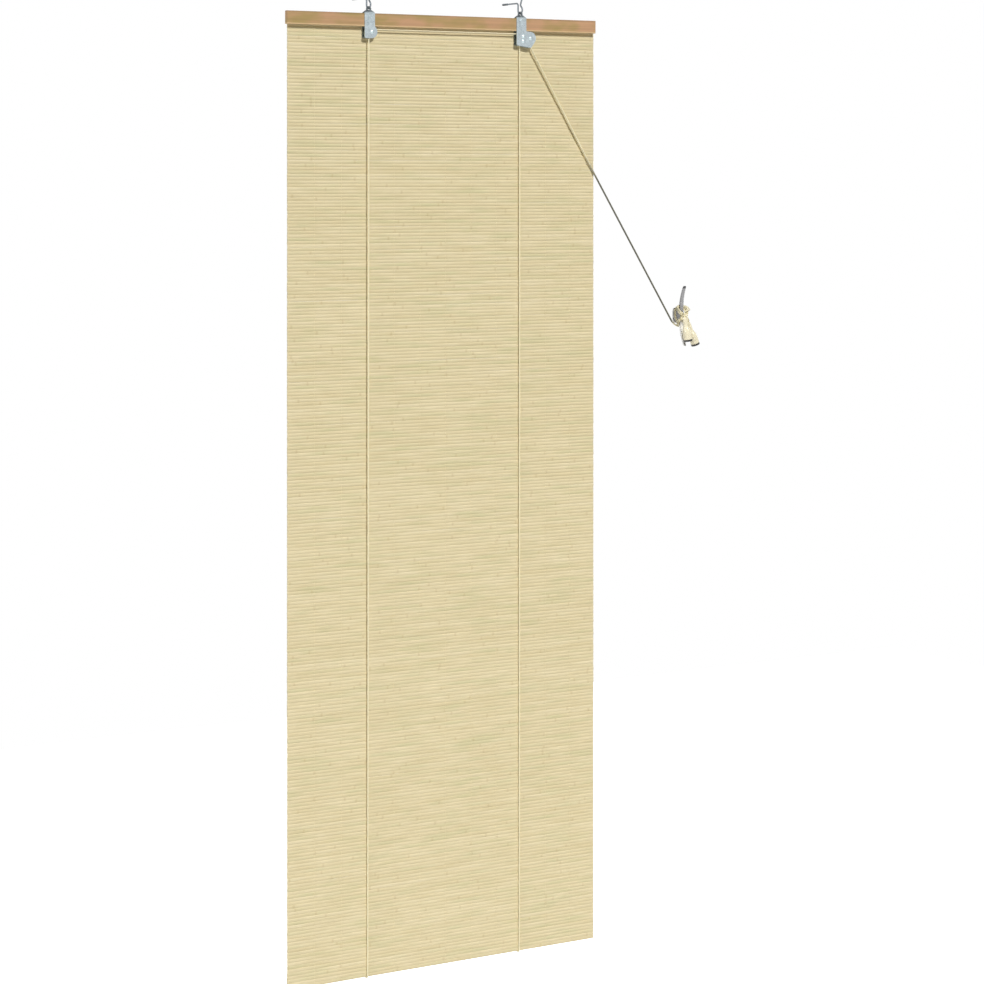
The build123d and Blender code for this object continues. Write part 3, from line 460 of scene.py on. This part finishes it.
def turned_wood(name, colours, foot, lean):
    """Pale turned wood under clear lacquer: faint grain along the pull, a smooth gloss, and painted shade as a
    dark band at its foot."""
    material, tree, shader = start(name, Roughness=0.35, IOR=1.5, Coat_Weight=0.25, Coat_Roughness=0.15)
    place = add(tree, "ShaderNodeTexCoord").outputs["Object"]
    down = Vector((sin(lean), 0, -cos(lean)))
    below = add(tree, "ShaderNodeVectorMath", {0: place, 1: foot}, operation="SUBTRACT").outputs[0]
    drop = add(tree, "ShaderNodeVectorMath", {0: below, 1: down}, operation="DOT_PRODUCT").outputs["Value"]
    stretch = add(tree, "ShaderNodeMapping", {"Vector": place, "Scale": (900, 900, 60)}).outputs[0]
    grain = add(tree, "ShaderNodeTexNoise", {"Vector": stretch, "Scale": 1.0, "Detail": 3.0}).outputs["Fac"]
    shade = add(tree, "ShaderNodeMapRange", {0: grain, 1: 0.3, 2: 0.7, 3: 0.86, 4: 1.04}).outputs[0]
    tint = add(
        tree, "ShaderNodeVectorMath", {0: tuple(colours.lacquer)[:3], "Scale": shade}, operation="SCALE"
    ).outputs[0]
    # Painted shade: a dark band at the pull's foot
    rim_shade = add(tree, "ShaderNodeMapRange", {0: drop, 1: RIM_SHADE_FADE[0], 2: RIM_SHADE_FADE[1]}).outputs[0]
    rim_shaded = add(tree, "ShaderNodeMix", {0: rim_shade, 6: tint, 7: tuple(colours.rim_shade)}, data_type="RGBA").outputs[2]
    tree.links.new(rim_shaded, shader.inputs["Base Color"])
    return material


def moulded_nylon(colours):
    """Moulded nylon: a waxy, slightly mottled plastic."""
    material, tree, shader = start("moulded_nylon", Roughness=0.42, IOR=1.53)
    place = add(tree, "ShaderNodeTexCoord").outputs["Object"]
    mottle = add(tree, "ShaderNodeTexNoise", {"Vector": place, "Scale": 500.0}).outputs["Fac"]
    shade = add(tree, "ShaderNodeMapRange", {0: mottle, 3: 0.9, 4: 1.05}).outputs[0]
    tint = add(
        tree, "ShaderNodeVectorMath", {0: tuple(colours.nylon)[:3], "Scale": shade}, operation="SCALE"
    ).outputs[0]
    tree.links.new(tint, shader.inputs["Base Color"])
    return material


def dress(material, *nodes):
    """Gives nodes of the frame their finish."""
    for name in nodes:
        mesh = frame["nodes"][name].data
        mesh.materials.clear()
        mesh.materials.append(material)


# Cords

CORD_LINE = 4.2 * MM  # from a pulley's axle to the cord's middle
GROOVE_SHIFT = 1.45 * MM
CORD_LEAD = 3 * MM  # cord below an axle, where the lift cord ends
LAND_SHIFT = Vector((-11.5, 0, -12.5)) * MM  # where the pull cords reach the cleat, from its middle
LAYER = 2.3 * MM  # from one pull cord to the other, out from the wall
EDGE_CLEAR = 1.3 * MM  # from the mat's front to a cord's middle at the mat's edge
SAG = 8.6 * MM  # how far the cords hang below the straight line at the mat's edge
NEAR = 12 * MM  # from an edge to the next point of a straight run

# Round turns and figure-of-eight turns on the cleat
ROUND_WIDTH = 7.2 * MM
ROUND_HEIGHT = 13.2 * MM
ROUND_CLOSE = 0.55  # how much wider the round turn starts than it ends
ROUND_BACK = -8.2 * MM  # where the round turn lies, from the wall
ROUND_STEPS = 13
ROUND_START = 0.02 * pi
ROUND_END = 1.7 * pi
FORWARD_FROM = 1.1 * pi  # where the round turn starts to come forward
FORWARD_OVER = 0.8 * pi  # turn in which it would come all the way
WIND_WIDTH = 6.5 * MM
WIND_HEIGHT = 12.2 * MM
WIND_SPREAD = 2.2 * MM  # growth over one figure of eight
WIND_BACK = -14.5 * MM  # where turns pass behind the horns
WIND_SHUFFLE = 1.8 * MM  # turns lie by turns nearer the wall and further out
WIND_FRONT = -23.2 * MM  # where they cross the body, at an angle of WIND_LEVEL half turns
WIND_LEVEL = 1.5
WIND_LAYER = 2.1 * MM  # how much further out each half turn crosses
WIND_STEPS = 46
LANE = 1.1 * MM  # sideways from the turns' middle to each of the two cords
FIRST_TURN = 0.87 * pi  # angle at which the figure of eight starts

# Pulls
PULL_LENGTH = 44 * MM
PULL_LEAD = 7 * MM  # straight cord above and below a pull's top
KNOT_DROP = 37.5 * MM  # from a pull's top to its knot
PULL_KNOT = 1.5 * MM
PULL_KNOT_CORD = 1.4 * MM

# Lift cords
LIFT_KNOT = 2.2 * MM
LIFT_KNOT_CORD = 1.6 * MM
LIFT_KNOT_OUT = 1.2 * MM  # how far a knot stands behind its cord
LIFT_BACK = 1.3 * MM  # from the mat's back to a cord's middle at its knot
LIFT_TURN = 1.7 * MM  # from the batten's back and the mat's front to a cord's middle
LIFT_CORNER = 6 * MM  # from a corner at the lower edge to the next control point
LIFT_SPLIT = 20 * MM  # height of the piece that goes up with the batten
LIFT_STEPS = 16


def winding(layer, lane, last_turn):
    """A round turn close to the wall, a sine and a cosine of its angle that close in and come forward, and
    then figure-of-eight turns round the horns. These are a sine of twice the turn across and a cosine of the
    turn upwards. They pass behind the horns at the ends and in front of the body where they cross, one layer
    further out each time. They grow evenly, and a lane shifts them sideways in their own plane."""
    angle = np.linspace(ROUND_START, ROUND_END, ROUND_STEPS)
    forward = np.clip((angle - FORWARD_FROM) / FORWARD_OVER, 0, 1)
    wide = np.interp(angle, [0, ROUND_END], [1 + ROUND_CLOSE, 1])
    turn = np.linspace(FIRST_TURN, last_turn, WIND_STEPS)
    growth = WIND_SPREAD * (turn - turn[0]) / tau
    across = np.concatenate([wide * ROUND_WIDTH * np.sin(angle), (WIND_WIDTH + growth) * np.sin(2 * turn)])
    upward = np.concatenate([-wide * ROUND_HEIGHT * np.cos(angle), (WIND_HEIGHT + growth) * np.cos(turn)])
    front = WIND_FRONT - WIND_LAYER * (turn / pi - WIND_LEVEL)
    back = WIND_BACK - WIND_SHUFFLE * np.sin(turn / 2 - pi / 4)
    eight = back + (front - back) * (1 - np.abs(np.cos(turn)) ** 3)
    rear = ROUND_BACK - layer * LAYER
    depth = np.concatenate([rear + (back[0] - rear) * forward, eight])
    lanes = lane * np.concatenate([forward, np.ones(WIND_STEPS)])
    step_across, step_upward = np.gradient(across), np.gradient(upward)
    step = np.hypot(step_across, step_upward)
    across = across - lanes * step_upward / step
    upward = upward + lanes * step_across / step
    return np.column_stack([across, depth, upward]) + np.array([CLEAT.x, 0, CLEAT.z])


def pull_route(first_axle, layer, tail, pull, lean, lane, last_turn):
    """The control points of one pull cord: up to its pulley, over each pulley with a point each side of the
    tangents' corner, past the mat's edge, round the cleat and down to the knot in its pull."""
    y = RIGHT_AXLE.y + GROOVE_SHIFT - layer * 2 * GROOVE_SHIFT
    z = RIGHT_AXLE.z
    land = CLEAT + LAND_SHIFT
    reach = hypot(land.x - RIGHT_AXLE.x, land.z - z)
    exit_angle = atan2(land.z - z, land.x - RIGHT_AXLE.x) + acos(CORD_LINE / reach)
    leave = Vector((RIGHT_AXLE.x + CORD_LINE * cos(exit_angle), y, z + CORD_LINE * sin(exit_angle)))
    along = Vector((sin(exit_angle), 0, -cos(exit_angle)))
    top = z + CORD_LINE
    up = first_axle.x - CORD_LINE
    points = [Vector((up, y, z - CORD_LEAD)), Vector((up, y, z))]
    if first_axle.x < RIGHT_AXLE.x:
        points += [Vector((up, y, top)), Vector((first_axle.x + CORD_LINE, y, top))]
        points += [Vector((first_axle.x + NEAR, y, top)), Vector((RIGHT_AXLE.x - NEAR, y, top))]
        corner = leave - along * ((top - leave.z) / -along.z)
        points += [corner - Vector((2 * (corner.x - RIGHT_AXLE.x), 0, 0)), corner]
    else:
        points += [Vector((up, y, top)), leave - along * CORD_LINE]
    points += [leave + along * CORD_LINE, leave + along * NEAR]
    below = Vector((along.z, 0, -along.x)) * SAG
    edge = leave + below + along * ((MAT_HIGH.x - leave.x - below.x) / along.x)
    edge.y = MAT_LOW.y - EDGE_CLEAR - layer * LAYER
    land.y = ROUND_BACK - layer * LAYER
    onward = (land - edge).normalized() * NEAR
    points += [edge - (edge - leave).normalized() * NEAR, edge, edge + onward, land - onward, land]
    down = Vector((sin(lean), 0, -cos(lean)))
    place = CLEAT + Vector(pull) * MM
    head = place - down * PULL_LENGTH
    points += [Vector(point) for point in winding(layer, lane, last_turn)]
    points += [CLEAT + Vector(point) * MM for point in tail]
    points += [head - down * PULL_LEAD, head + down * PULL_LEAD, head + down * KNOT_DROP]
    return np.array(points)


# Tails and the pulls' feet are in millimetres from the cleat's middle, and pulls lean to the right
PULL_CORDS = {
    "left_pull_cord": dict(
        first_axle=LEFT_AXLE,
        layer=1,
        tail=((0.5, -34.5, 10.5),),
        pull=(1.9, -39, -44.4),
        lean=radians(11),
        lane=LANE,
        last_turn=6.32 * pi,
    ),
    "right_pull_cord": dict(
        first_axle=RIGHT_AXLE,
        layer=0,
        tail=((6.5, -31.5, 4.5),),
        pull=(22.5, -32.5, -52),
        lean=radians(22),
        lane=-LANE,
        last_turn=6.22 * pi,
    ),
}


def braid(name, line, diameter, material, across, body="hanger", sides=10):
    """A round cord along a line. Its UV map holds the length so far and the share of the turn round it."""
    rings = tube_points(line, diameter / 2, sides, across)
    run = run_length(line)
    share = np.arange(sides) / sides
    corners = np.empty((len(line) - 1, sides, 4, 2))
    corners[:, :, :2, 0] = run[:-1, None, None]
    corners[:, :, 2:, 0] = run[1:, None, None]
    corners[..., 1] = share[:, None] + np.array([0, 1, 1, 0]) / sides
    ends = np.stack([np.repeat(run[[0, -1]], sides), np.concatenate([share[::-1], share])], -1)
    uv = np.concatenate([corners.reshape(-1, 2), ends])
    return put_mesh(name, rings, tube_faces(1, len(line), sides), material, body, "cotton_cord", uv=uv)


def overhand_knot(name, centre, size, diameter, material, body="hanger"):
    """A knot as a closed trefoil: sums of sines and cosines of one, two and three times the angle."""
    angle = np.linspace(0, tau, 49)
    path = np.column_stack(
        [
            np.sin(angle) + 2 * np.sin(2 * angle),
            np.cos(angle) - 2 * np.cos(2 * angle),
            -1.3 * np.sin(3 * angle),
        ]
    )
    path = np.asarray(centre) + path * size / 3
    return braid(name, path, diameter, material, (0.3, 0.2, 1.0), body, sides=8)


class BLIND_OT_cords(bpy.types.Operator):
    """Lays the pull cords from the pulleys to their pulls, and hangs the lift cords round the mat"""

    bl_idname = "blind.cords"
    bl_label = "Cords"

    def execute(self, context):
        diameter = context.scene.blind_sizes.cord
        material = cotton_braid(context.scene.blind_colours)
        for name, plan in PULL_CORDS.items():
            side = name.split("_")[0]
            line = spline_line(pull_route(**plan))
            piece = braid(f"{side}_pull_braid", line, diameter, material, (0, 1, 0))
            nodes = [name, f"{side}_cord_tail"]
            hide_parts(*nodes, "cord_wrap")
            knot = overhand_knot(f"{side}_pull_knot", line[-1], PULL_KNOT, PULL_KNOT_CORD, material)
        self.hang("left", LEFT_AXLE, -GROOVE_SHIFT, diameter, material)
        self.hang("right", RIGHT_AXLE, GROOVE_SHIFT, diameter, material)
        return {"FINISHED"}

    def hang(self, side, axle, shift, diameter, material):
        """One lift cord as a run down the back, a turn under the edge and a run up the front, with a knot."""
        low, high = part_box(f"{side}_lift_cord")
        x = axle.x - CORD_LINE
        outward = low.x if side == "left" else high.x
        inward = LIFT_KNOT if side == "left" else -LIFT_KNOT
        knot = Vector((outward + inward, MAT_HIGH.y + LIFT_BACK, high.z - LIFT_KNOT))
        bottom = low.z + diameter / 2
        back = Vector((x, BATTEN_HIGH.y + LIFT_TURN, bottom))
        front = Vector((x, MAT_LOW.y - LIFT_TURN, bottom))
        top = Vector((x, axle.y + shift, axle.z - CORD_LEAD))
        corner = Vector((0, 0, LIFT_CORNER))
        points = [knot, knot.lerp(back, 0.5), back + corner, back, front]
        points += [front + corner, front.lerp(top, 0.5), top]
        line = spline_line(np.array(points), LIFT_STEPS)
        in_turn = np.flatnonzero(line[:, 2] < bottom + LIFT_SPLIT)
        first, last = in_turn[0], in_turn[-1]
        across = (1, 0, 0)
        down = braid(f"{side}_lift_back", line[: first + 1], diameter, material, across)
        under = braid(f"{side}_lift_turn", line[first : last + 1], diameter, material, across, "batten")
        rise = braid(f"{side}_lift_front", line[last:], diameter, material, across)
        tied = knot + Vector((0, LIFT_KNOT_OUT, 0))
        tie = overhand_knot(f"{side}_lift_knot", tied, LIFT_KNOT, LIFT_KNOT_CORD, material)
        for piece, anchor, end in ((down, knot, line[first]), (rise, top, line[last])):
            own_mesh(piece)
        for piece in (down, under, rise, tie):
            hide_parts(f"{side}_lift_cord")


# Mat

STICK_SIDES = 10
STICK_STEPS = 13  # sections of a stick besides those at its nodes
STICK_TRIM = 0.5 * MM  # by which an end may be short
STICK_HEIGHT = 1.03, 1.07  # of the pitch: sticks overlap a little, so that no light shows between them
STICK_DEPTH = 0.9, 1.02  # of the mat's thickness
STICK_OUT, STICK_RISE = 0.72, 0.8  # powers that round the section
STICK_TILT = 0.035  # spread of the sticks' own tilts
STICK_TONE = 0.4, 0.6
STICK_STRANDS = 90  # span of the grain's own places, so that no two sticks are alike
NODE_FIRST = 0.1  # share of half the mat's width, right of its middle, up to which first nodes lie
NODE_GAP = 0.27, 0.38  # from a stick's first node to its second
NODE_SECTIONS = -3 * MM, 0, 3 * MM  # beside a node
NODE_CLEAR = 2 * MM  # from an end to the nearest such section
NODE_WIDTH = 1.6 * MM
NODE_TALL, NODE_DEEP = 0.04, 0.08  # swelling at a node
NODE_SHADE = 0.3  # how far a node takes its own colour
# Slow and quick waves of a stick's line, each with its height and the length of one radian
SWAY = (0.12 * MM, 0.11), (0.06 * MM, 0.043)
LEAN = (0.10 * MM, 0.13), (0.05 * MM, 0.05)
WAVE = 0.3, 1.0  # share of the slow wave that a stick has

THREAD_SIDES = 3
THREAD_STEPS = -0.5, -0.28, 0, 0.28  # sections of a thread at a stick, in pitches
THREAD_OVER = 0.0, 1.0, 1.0, 1.0  # where it lies in the groove and where over the stick
THREAD_DIP = 0.35  # share of its reach that is left in the groove
THREAD_SWING = 0.35 * MM
THREAD_PROUD = 0.2  # share of its radius by which it stands off the sticks


class BLIND_OT_mat(bpy.types.Operator):
    """Lays the bamboo sticks edge to edge and binds them with rows of warp thread"""

    bl_idname = "blind.mat"
    bl_label = "Bamboo mat"

    def execute(self, context):
        sizes = context.scene.blind_sizes
        colours = context.scene.blind_colours
        random = np.random.default_rng(sizes.seed)
        sticks = round((MAT_HIGH.z - MAT_LOW.z) / sizes.stick_pitch)
        pitch = (MAT_HIGH.z - MAT_LOW.z) / sticks
        levels = MAT_LOW.z + pitch * (np.arange(sticks) + 0.5)
        pieces = [
            self.sticks(random, levels, pitch, split_bamboo(colours)),
            self.threads(levels, pitch, sizes, cotton_thread(colours)),
        ]
        for piece in pieces:
            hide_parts("mat")
            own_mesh(piece)
        return {"FINISHED"}

    def sticks(self, random, levels, pitch, material):
        """Each stick is a rounded bar: its section has powers of the cosine and sine of an angle and swells
        by a bell curve at each node, and its line waves by a slow and a quick sine."""
        count = len(levels)
        first = random.uniform(-MAT_HALF, NODE_FIRST * MAT_HALF, count)
        nodes = np.stack([first, first + random.uniform(*NODE_GAP, count)], 1)
        marks = (nodes[:, :, None] + np.array(NODE_SECTIONS)).reshape(count, -1)
        ends = MAT_HALF - random.uniform(0, STICK_TRIM, (count, 1))
        base = np.linspace(-1, 1, STICK_STEPS) * ends
        marks = np.clip(marks, -ends + NODE_CLEAR, ends - NODE_CLEAR)
        x = np.sort(np.concatenate([base, marks], 1), 1)
        gap = np.abs(x[:, :, None] - nodes[:, None, :]).min(2)
        ring = np.exp(-((gap / NODE_WIDTH) ** 2))
        phase = random.uniform(0, tau, (4, count, 1))
        wave = random.uniform(*WAVE, (2, count, 1))
        (slow, slow_run), (quick, quick_run) = SWAY
        sway = slow * wave[0] * np.sin(x / slow_run + phase[0]) + quick * np.sin(x / quick_run + phase[1])
        (slow, slow_run), (quick, quick_run) = LEAN
        lean = slow * wave[1] * np.sin(x / slow_run + phase[2]) + quick * np.sin(x / quick_run + phase[3])
        tall = pitch / 2 * random.uniform(*STICK_HEIGHT, (count, 1)) * (1 + NODE_TALL * ring)
        deep = MAT_DEEP * random.uniform(*STICK_DEPTH, (count, 1)) * (1 + NODE_DEEP * ring)
        angle = np.linspace(0, tau, STICK_SIDES, endpoint=False)
        out = np.sign(np.cos(angle)) * np.abs(np.cos(angle)) ** STICK_OUT
        rise = np.sign(np.sin(angle)) * np.abs(np.sin(angle)) ** STICK_RISE
        tilt = random.normal(0, STICK_TILT, (count, 1, 1))
        height = tall[:, :, None] * rise
        points = np.empty((count, x.shape[1], STICK_SIDES, 3))
        points[..., 0] = MAT_CENTRE + x[:, :, None]
        points[..., 1] = MAT_MIDDLE + sway[:, :, None] - deep[:, :, None] * out + tilt * height
        points[..., 2] = levels[:, None, None] + lean[:, :, None] + height
        shape = points.shape[:3]
        tone = np.broadcast_to(random.uniform(*STICK_TONE, (count, 1, 1)), shape)
        strand = np.broadcast_to(random.uniform(0, STICK_STRANDS, (count, 1, 1)), shape)
        ring = np.broadcast_to(NODE_SHADE * ring[:, :, None], shape)
        faces = tube_faces(count, x.shape[1], STICK_SIDES)
        return put_mesh(
            "bamboo_sticks", points, faces, material, "hanger", "bamboo", tone=tone, strand=strand, ring=ring
        )

    def threads(self, levels, pitch, sizes, material):
        """Two threads in each row, one over the front and one over the back of every stick, that dip and
        cross in the groove between two sticks."""
        rows = int(2 * MAT_HALF / sizes.warp_pitch)
        columns = MAT_CENTRE + (np.arange(rows) - (rows - 1) / 2) * sizes.warp_pitch
        z = (levels[:, None] + pitch * np.array(THREAD_STEPS)).ravel()
        over = np.tile(THREAD_OVER, len(levels))
        turns = np.repeat(np.where(np.arange(len(levels)) % 2, 1.0, -1.0), len(THREAD_STEPS))
        swing = turns * over * THREAD_SWING
        radius = sizes.thread / 2
        angle = np.linspace(0, tau, THREAD_SIDES, endpoint=False)
        points = np.empty((rows, 2, len(z), THREAD_SIDES, 3))
        reach = MAT_DEEP + THREAD_PROUD * radius
        for face, side in enumerate((-1, 1)):
            depth = MAT_MIDDLE + side * reach * (THREAD_DIP + (1 - THREAD_DIP) * over)
            across = side * swing[:, None] + radius * np.cos(angle)
            points[:, face, :, :, 0] = columns[:, None, None] + across
            points[:, face, :, :, 1] = depth[:, None] + radius * np.sin(angle)
        points[..., 2] = z[:, None]
        faces = tube_faces(rows * 2, len(z), THREAD_SIDES)
        return put_mesh("warp_threads", points, faces, material, "hanger", "bamboo", crease=180.0)


# Rail and hardware

SCREW_START = 2 * MM  # of the thread, behind the wall's face
SCREW_POINT = 5 * MM
SCREW_TIP = 0.2 * MM
SCREW_STEPS = 420
SCREW_RIDGE = (-0.05, -0.34), (0.3, 0.0), (-0.05, 0.34)  # out from the screw and along it, in pitches


class BLIND_OT_laths(bpy.types.Operator):
    """Finishes the head rail and the bottom batten as planed wood"""

    bl_idname = "blind.laths"
    bl_label = "Rail and batten"

    def execute(self, context):
        colours = context.scene.blind_colours
        woods = tuple(colours.rail), tuple(colours.rail_grain), tuple(colours.rail_edge_highlight)
        dress(planed_lath("planed_rail", *woods, RAIL_LOW.z, RAIL_HIGH.z), "head_rail")
        dress(planed_lath("planed_batten", *woods, BATTEN_LOW.z, BATTEN_HIGH.z), "bottom_batten")
        return {"FINISHED"}


class BLIND_OT_hardware(bpy.types.Operator):
    """Finishes the straps, rivets, pulleys, lock and staples, and cuts the threads of the hooks' screws"""

    bl_idname = "blind.hardware"
    bl_label = "Hardware"

    def execute(self, context):
        sizes = context.scene.blind_sizes
        colours = context.scene.blind_colours
        # Painted shade darkens the straps above the rail
        zinc = zinc_plate("bright_zinc", colours.zinc, 0.3, shade_above=RAIL_HIGH.z + TAB_SHADE_START)
        wire = zinc_plate("zinc_wire", colours.wire, 0.3)
        rivet = zinc_plate("rivet_zinc", colours.rivet, 0.36)
        dress(zinc, "left_bracket", "right_bracket", "lock_cam")
        dress(wire, "left_hook", "right_hook", "staples")
        dress(rivet, "left_pulley_axle", "right_pulley_axle", "guide_pin", "lock_cam_axle")
        dress(moulded_nylon(colours), "left_pulley", "right_pulley")
        for side in ("left", "right"):
            self.screw_thread(side, sizes.screw_pitch, wire)
        return {"FINISHED"}

    def screw_thread(self, side, pitch, material):
        """A three-sided ridge carried along a helix on the screw, on a radius that falls to the point."""
        low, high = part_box(f"{side}_hook")
        x = (low.x + high.x) / 2
        shank = (high.x - low.x) / 2
        run = np.linspace(SCREW_START, high.y - pitch, SCREW_STEPS)
        angle = tau * run / pitch
        radius = np.interp(run, [high.y - SCREW_POINT, high.y], [shank, SCREW_TIP])
        profile = np.array(SCREW_RIDGE)
        out = radius[:, None] + profile[:, 0] * pitch * np.minimum(1, radius / shank)[:, None]
        points = np.stack(
            [
                x + out * np.cos(angle)[:, None],
                run[:, None] + profile[:, 1] * pitch,
                out * np.sin(angle)[:, None],
            ],
            -1,
        )
        faces = tube_faces(1, len(run), len(profile))
        name = f"{side}_screw_thread"
        put_mesh(name, points, faces, material, "hanger", "zinc_plated_steel", crease=30.0)


class BLIND_OT_cleat(bpy.types.Operator):
    """Finishes the wall cleat and the two pulls"""

    bl_idname = "blind.cleat"
    bl_label = "Cleat and pulls"

    def execute(self, context):
        colours = context.scene.blind_colours
        dress(cast_alloy(colours), "cleat")
        for side in ("left", "right"):
            plan = PULL_CORDS[f"{side}_pull_cord"]
            foot = CLEAT + Vector(plan["pull"]) * MM
            dress(turned_wood(f"{side}_lacquered_turning", colours, foot, plan["lean"]), f"{side}_pull")
        return {"FINISHED"}


# Stage

CAMERA_PLACE = (-2.3950, -4.0872, -0.2928)
KEY_DIRECTION = (0.12, -1.0, 0.82)  # from the blind to the key light
SIDE_DIRECTION = (-1.0, -0.06, 0.12)  # along the wall, from the left
FLOOR_REACH = 6.0
FLOOR_TINT = "#F2F2F2"
SKY_TINT = "#FFF3DC"


def in_view(tree):
    """One for rays that come from the camera or off a shiny surface, and nought for all others."""
    path = add(tree, "ShaderNodeLightPath").outputs
    return add(
        tree, "ShaderNodeMath", {0: path["Is Camera Ray"], 1: path["Is Glossy Ray"]}, operation="MAXIMUM"
    ).outputs[0]


class BLIND_OT_stage(bpy.types.Operator):
    """Sets the camera, the two lamps, the pale floor and a white surround"""

    bl_idname = "blind.stage"
    bl_label = "Stage"

    def execute(self, context):
        scene = context.scene
        stage = scene.blind_stage
        scene.view_settings.view_transform = "Standard"
        camera = bpy.data.objects.new("camera", bpy.data.cameras.new("camera"))
        camera.data.lens = stage.lens
        camera.data.shift_y = stage.shift
        camera.location = CAMERA_PLACE
        camera.rotation_euler = (pi / 2, 0, -stage.yaw)
        scene.collection.objects.link(camera)
        scene.camera = camera
        self.lamp("key", stage.key, stage.key_spread, KEY_DIRECTION)
        self.lamp("side", stage.side, stage.side_spread, SIDE_DIRECTION)
        self.floor(stage)
        self.surround(scene, stage)
        return {"FINISHED"}

    def lamp(self, name, strength, spread, direction):
        """A distant lamp that shines from a direction."""
        light = bpy.data.lights.new(name, "SUN")
        light.energy = strength
        light.angle = spread
        lamp = bpy.data.objects.new(name, light)
        lamp.rotation_euler = Vector(direction).to_track_quat("Z", "Y").to_euler()
        bpy.context.scene.collection.objects.link(lamp)

    def floor(self, stage):
        """A flat square of pale floor that is white to the camera and in metal."""
        corner = np.array([[-1, -1], [1, -1], [1, 1], [-1, 1]]) * FLOOR_REACH
        points = np.column_stack([corner, np.full(len(corner), stage.floor)])
        mesh = bpy.data.meshes.new("floor")
        mesh.from_pydata(points.tolist(), [], [(0, 1, 2, 3)])
        material, tree, shader = start("pale_floor", Roughness=0.9, Base_Color=linear(FLOOR_TINT))
        shader.inputs["Emission Color"].default_value = (1, 1, 1, 1)
        tree.links.new(in_view(tree), shader.inputs["Emission Strength"])
        mesh.materials.append(material)
        floor = bpy.data.objects.new("floor", mesh)
        bpy.context.scene.collection.objects.link(floor)

    def surround(self, scene, stage):
        """A sky that lights the object softly and warmly, and is white to the camera and in reflections."""
        world = bpy.data.worlds.new("studio")
        world.use_nodes = True
        tree = world.node_tree
        warm = (Vector(linear(SKY_TINT)[:3]) * stage.fill).to_4d()
        light = add(
            tree, "ShaderNodeMix", {0: in_view(tree), 6: warm, 7: (1, 1, 1, 1)}, data_type="RGBA"
        ).outputs[2]
        tree.links.new(light, tree.nodes["Background"].inputs["Color"])
        scene.world = world


OPERATORS = (
    BLIND_OT_stage,
    BLIND_OT_cords,
    BLIND_OT_mat,
    BLIND_OT_laths,
    BLIND_OT_hardware,
    BLIND_OT_cleat,
)


class BLIND_PT_sidebar(bpy.types.Panel):
    """Lists the blind's sizes, colours, stage and operators"""

    bl_idname = "BLIND_PT_sidebar"
    bl_label = "Bamboo blind"
    bl_space_type = "VIEW_3D"
    bl_region_type = "UI"
    bl_category = "Blind"

    def draw(self, context):
        for group in (context.scene.blind_sizes, context.scene.blind_colours, context.scene.blind_stage):
            column = self.layout.column(align=True)
            for title in group.__annotations__:
                column.prop(group, title)
        for operator in OPERATORS:
            self.layout.operator(operator.bl_idname)


GROUPS = {"blind_sizes": BlindSizes, "blind_colours": BlindColours, "blind_stage": BlindStage}


def register():
    """Registers the property groups, the operators and the panel."""
    for kind in (*GROUPS.values(), *OPERATORS, BLIND_PT_sidebar):
        bpy.utils.register_class(kind)
    for title, group in GROUPS.items():
        setattr(bpy.types.Scene, title, PointerProperty(type=group))


def unregister():
    """Takes away what register() added."""
    for title in GROUPS:
        delattr(bpy.types.Scene, title)
    for kind in (BLIND_PT_sidebar, *reversed(OPERATORS), *GROUPS.values()):
        bpy.utils.unregister_class(kind)


def main():
    """Registers the add-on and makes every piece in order."""
    register()
    for operator in OPERATORS:
        getattr(bpy.ops.blind, operator.bl_idname.split(".")[1])()


if __name__ == "__main__":
    main()
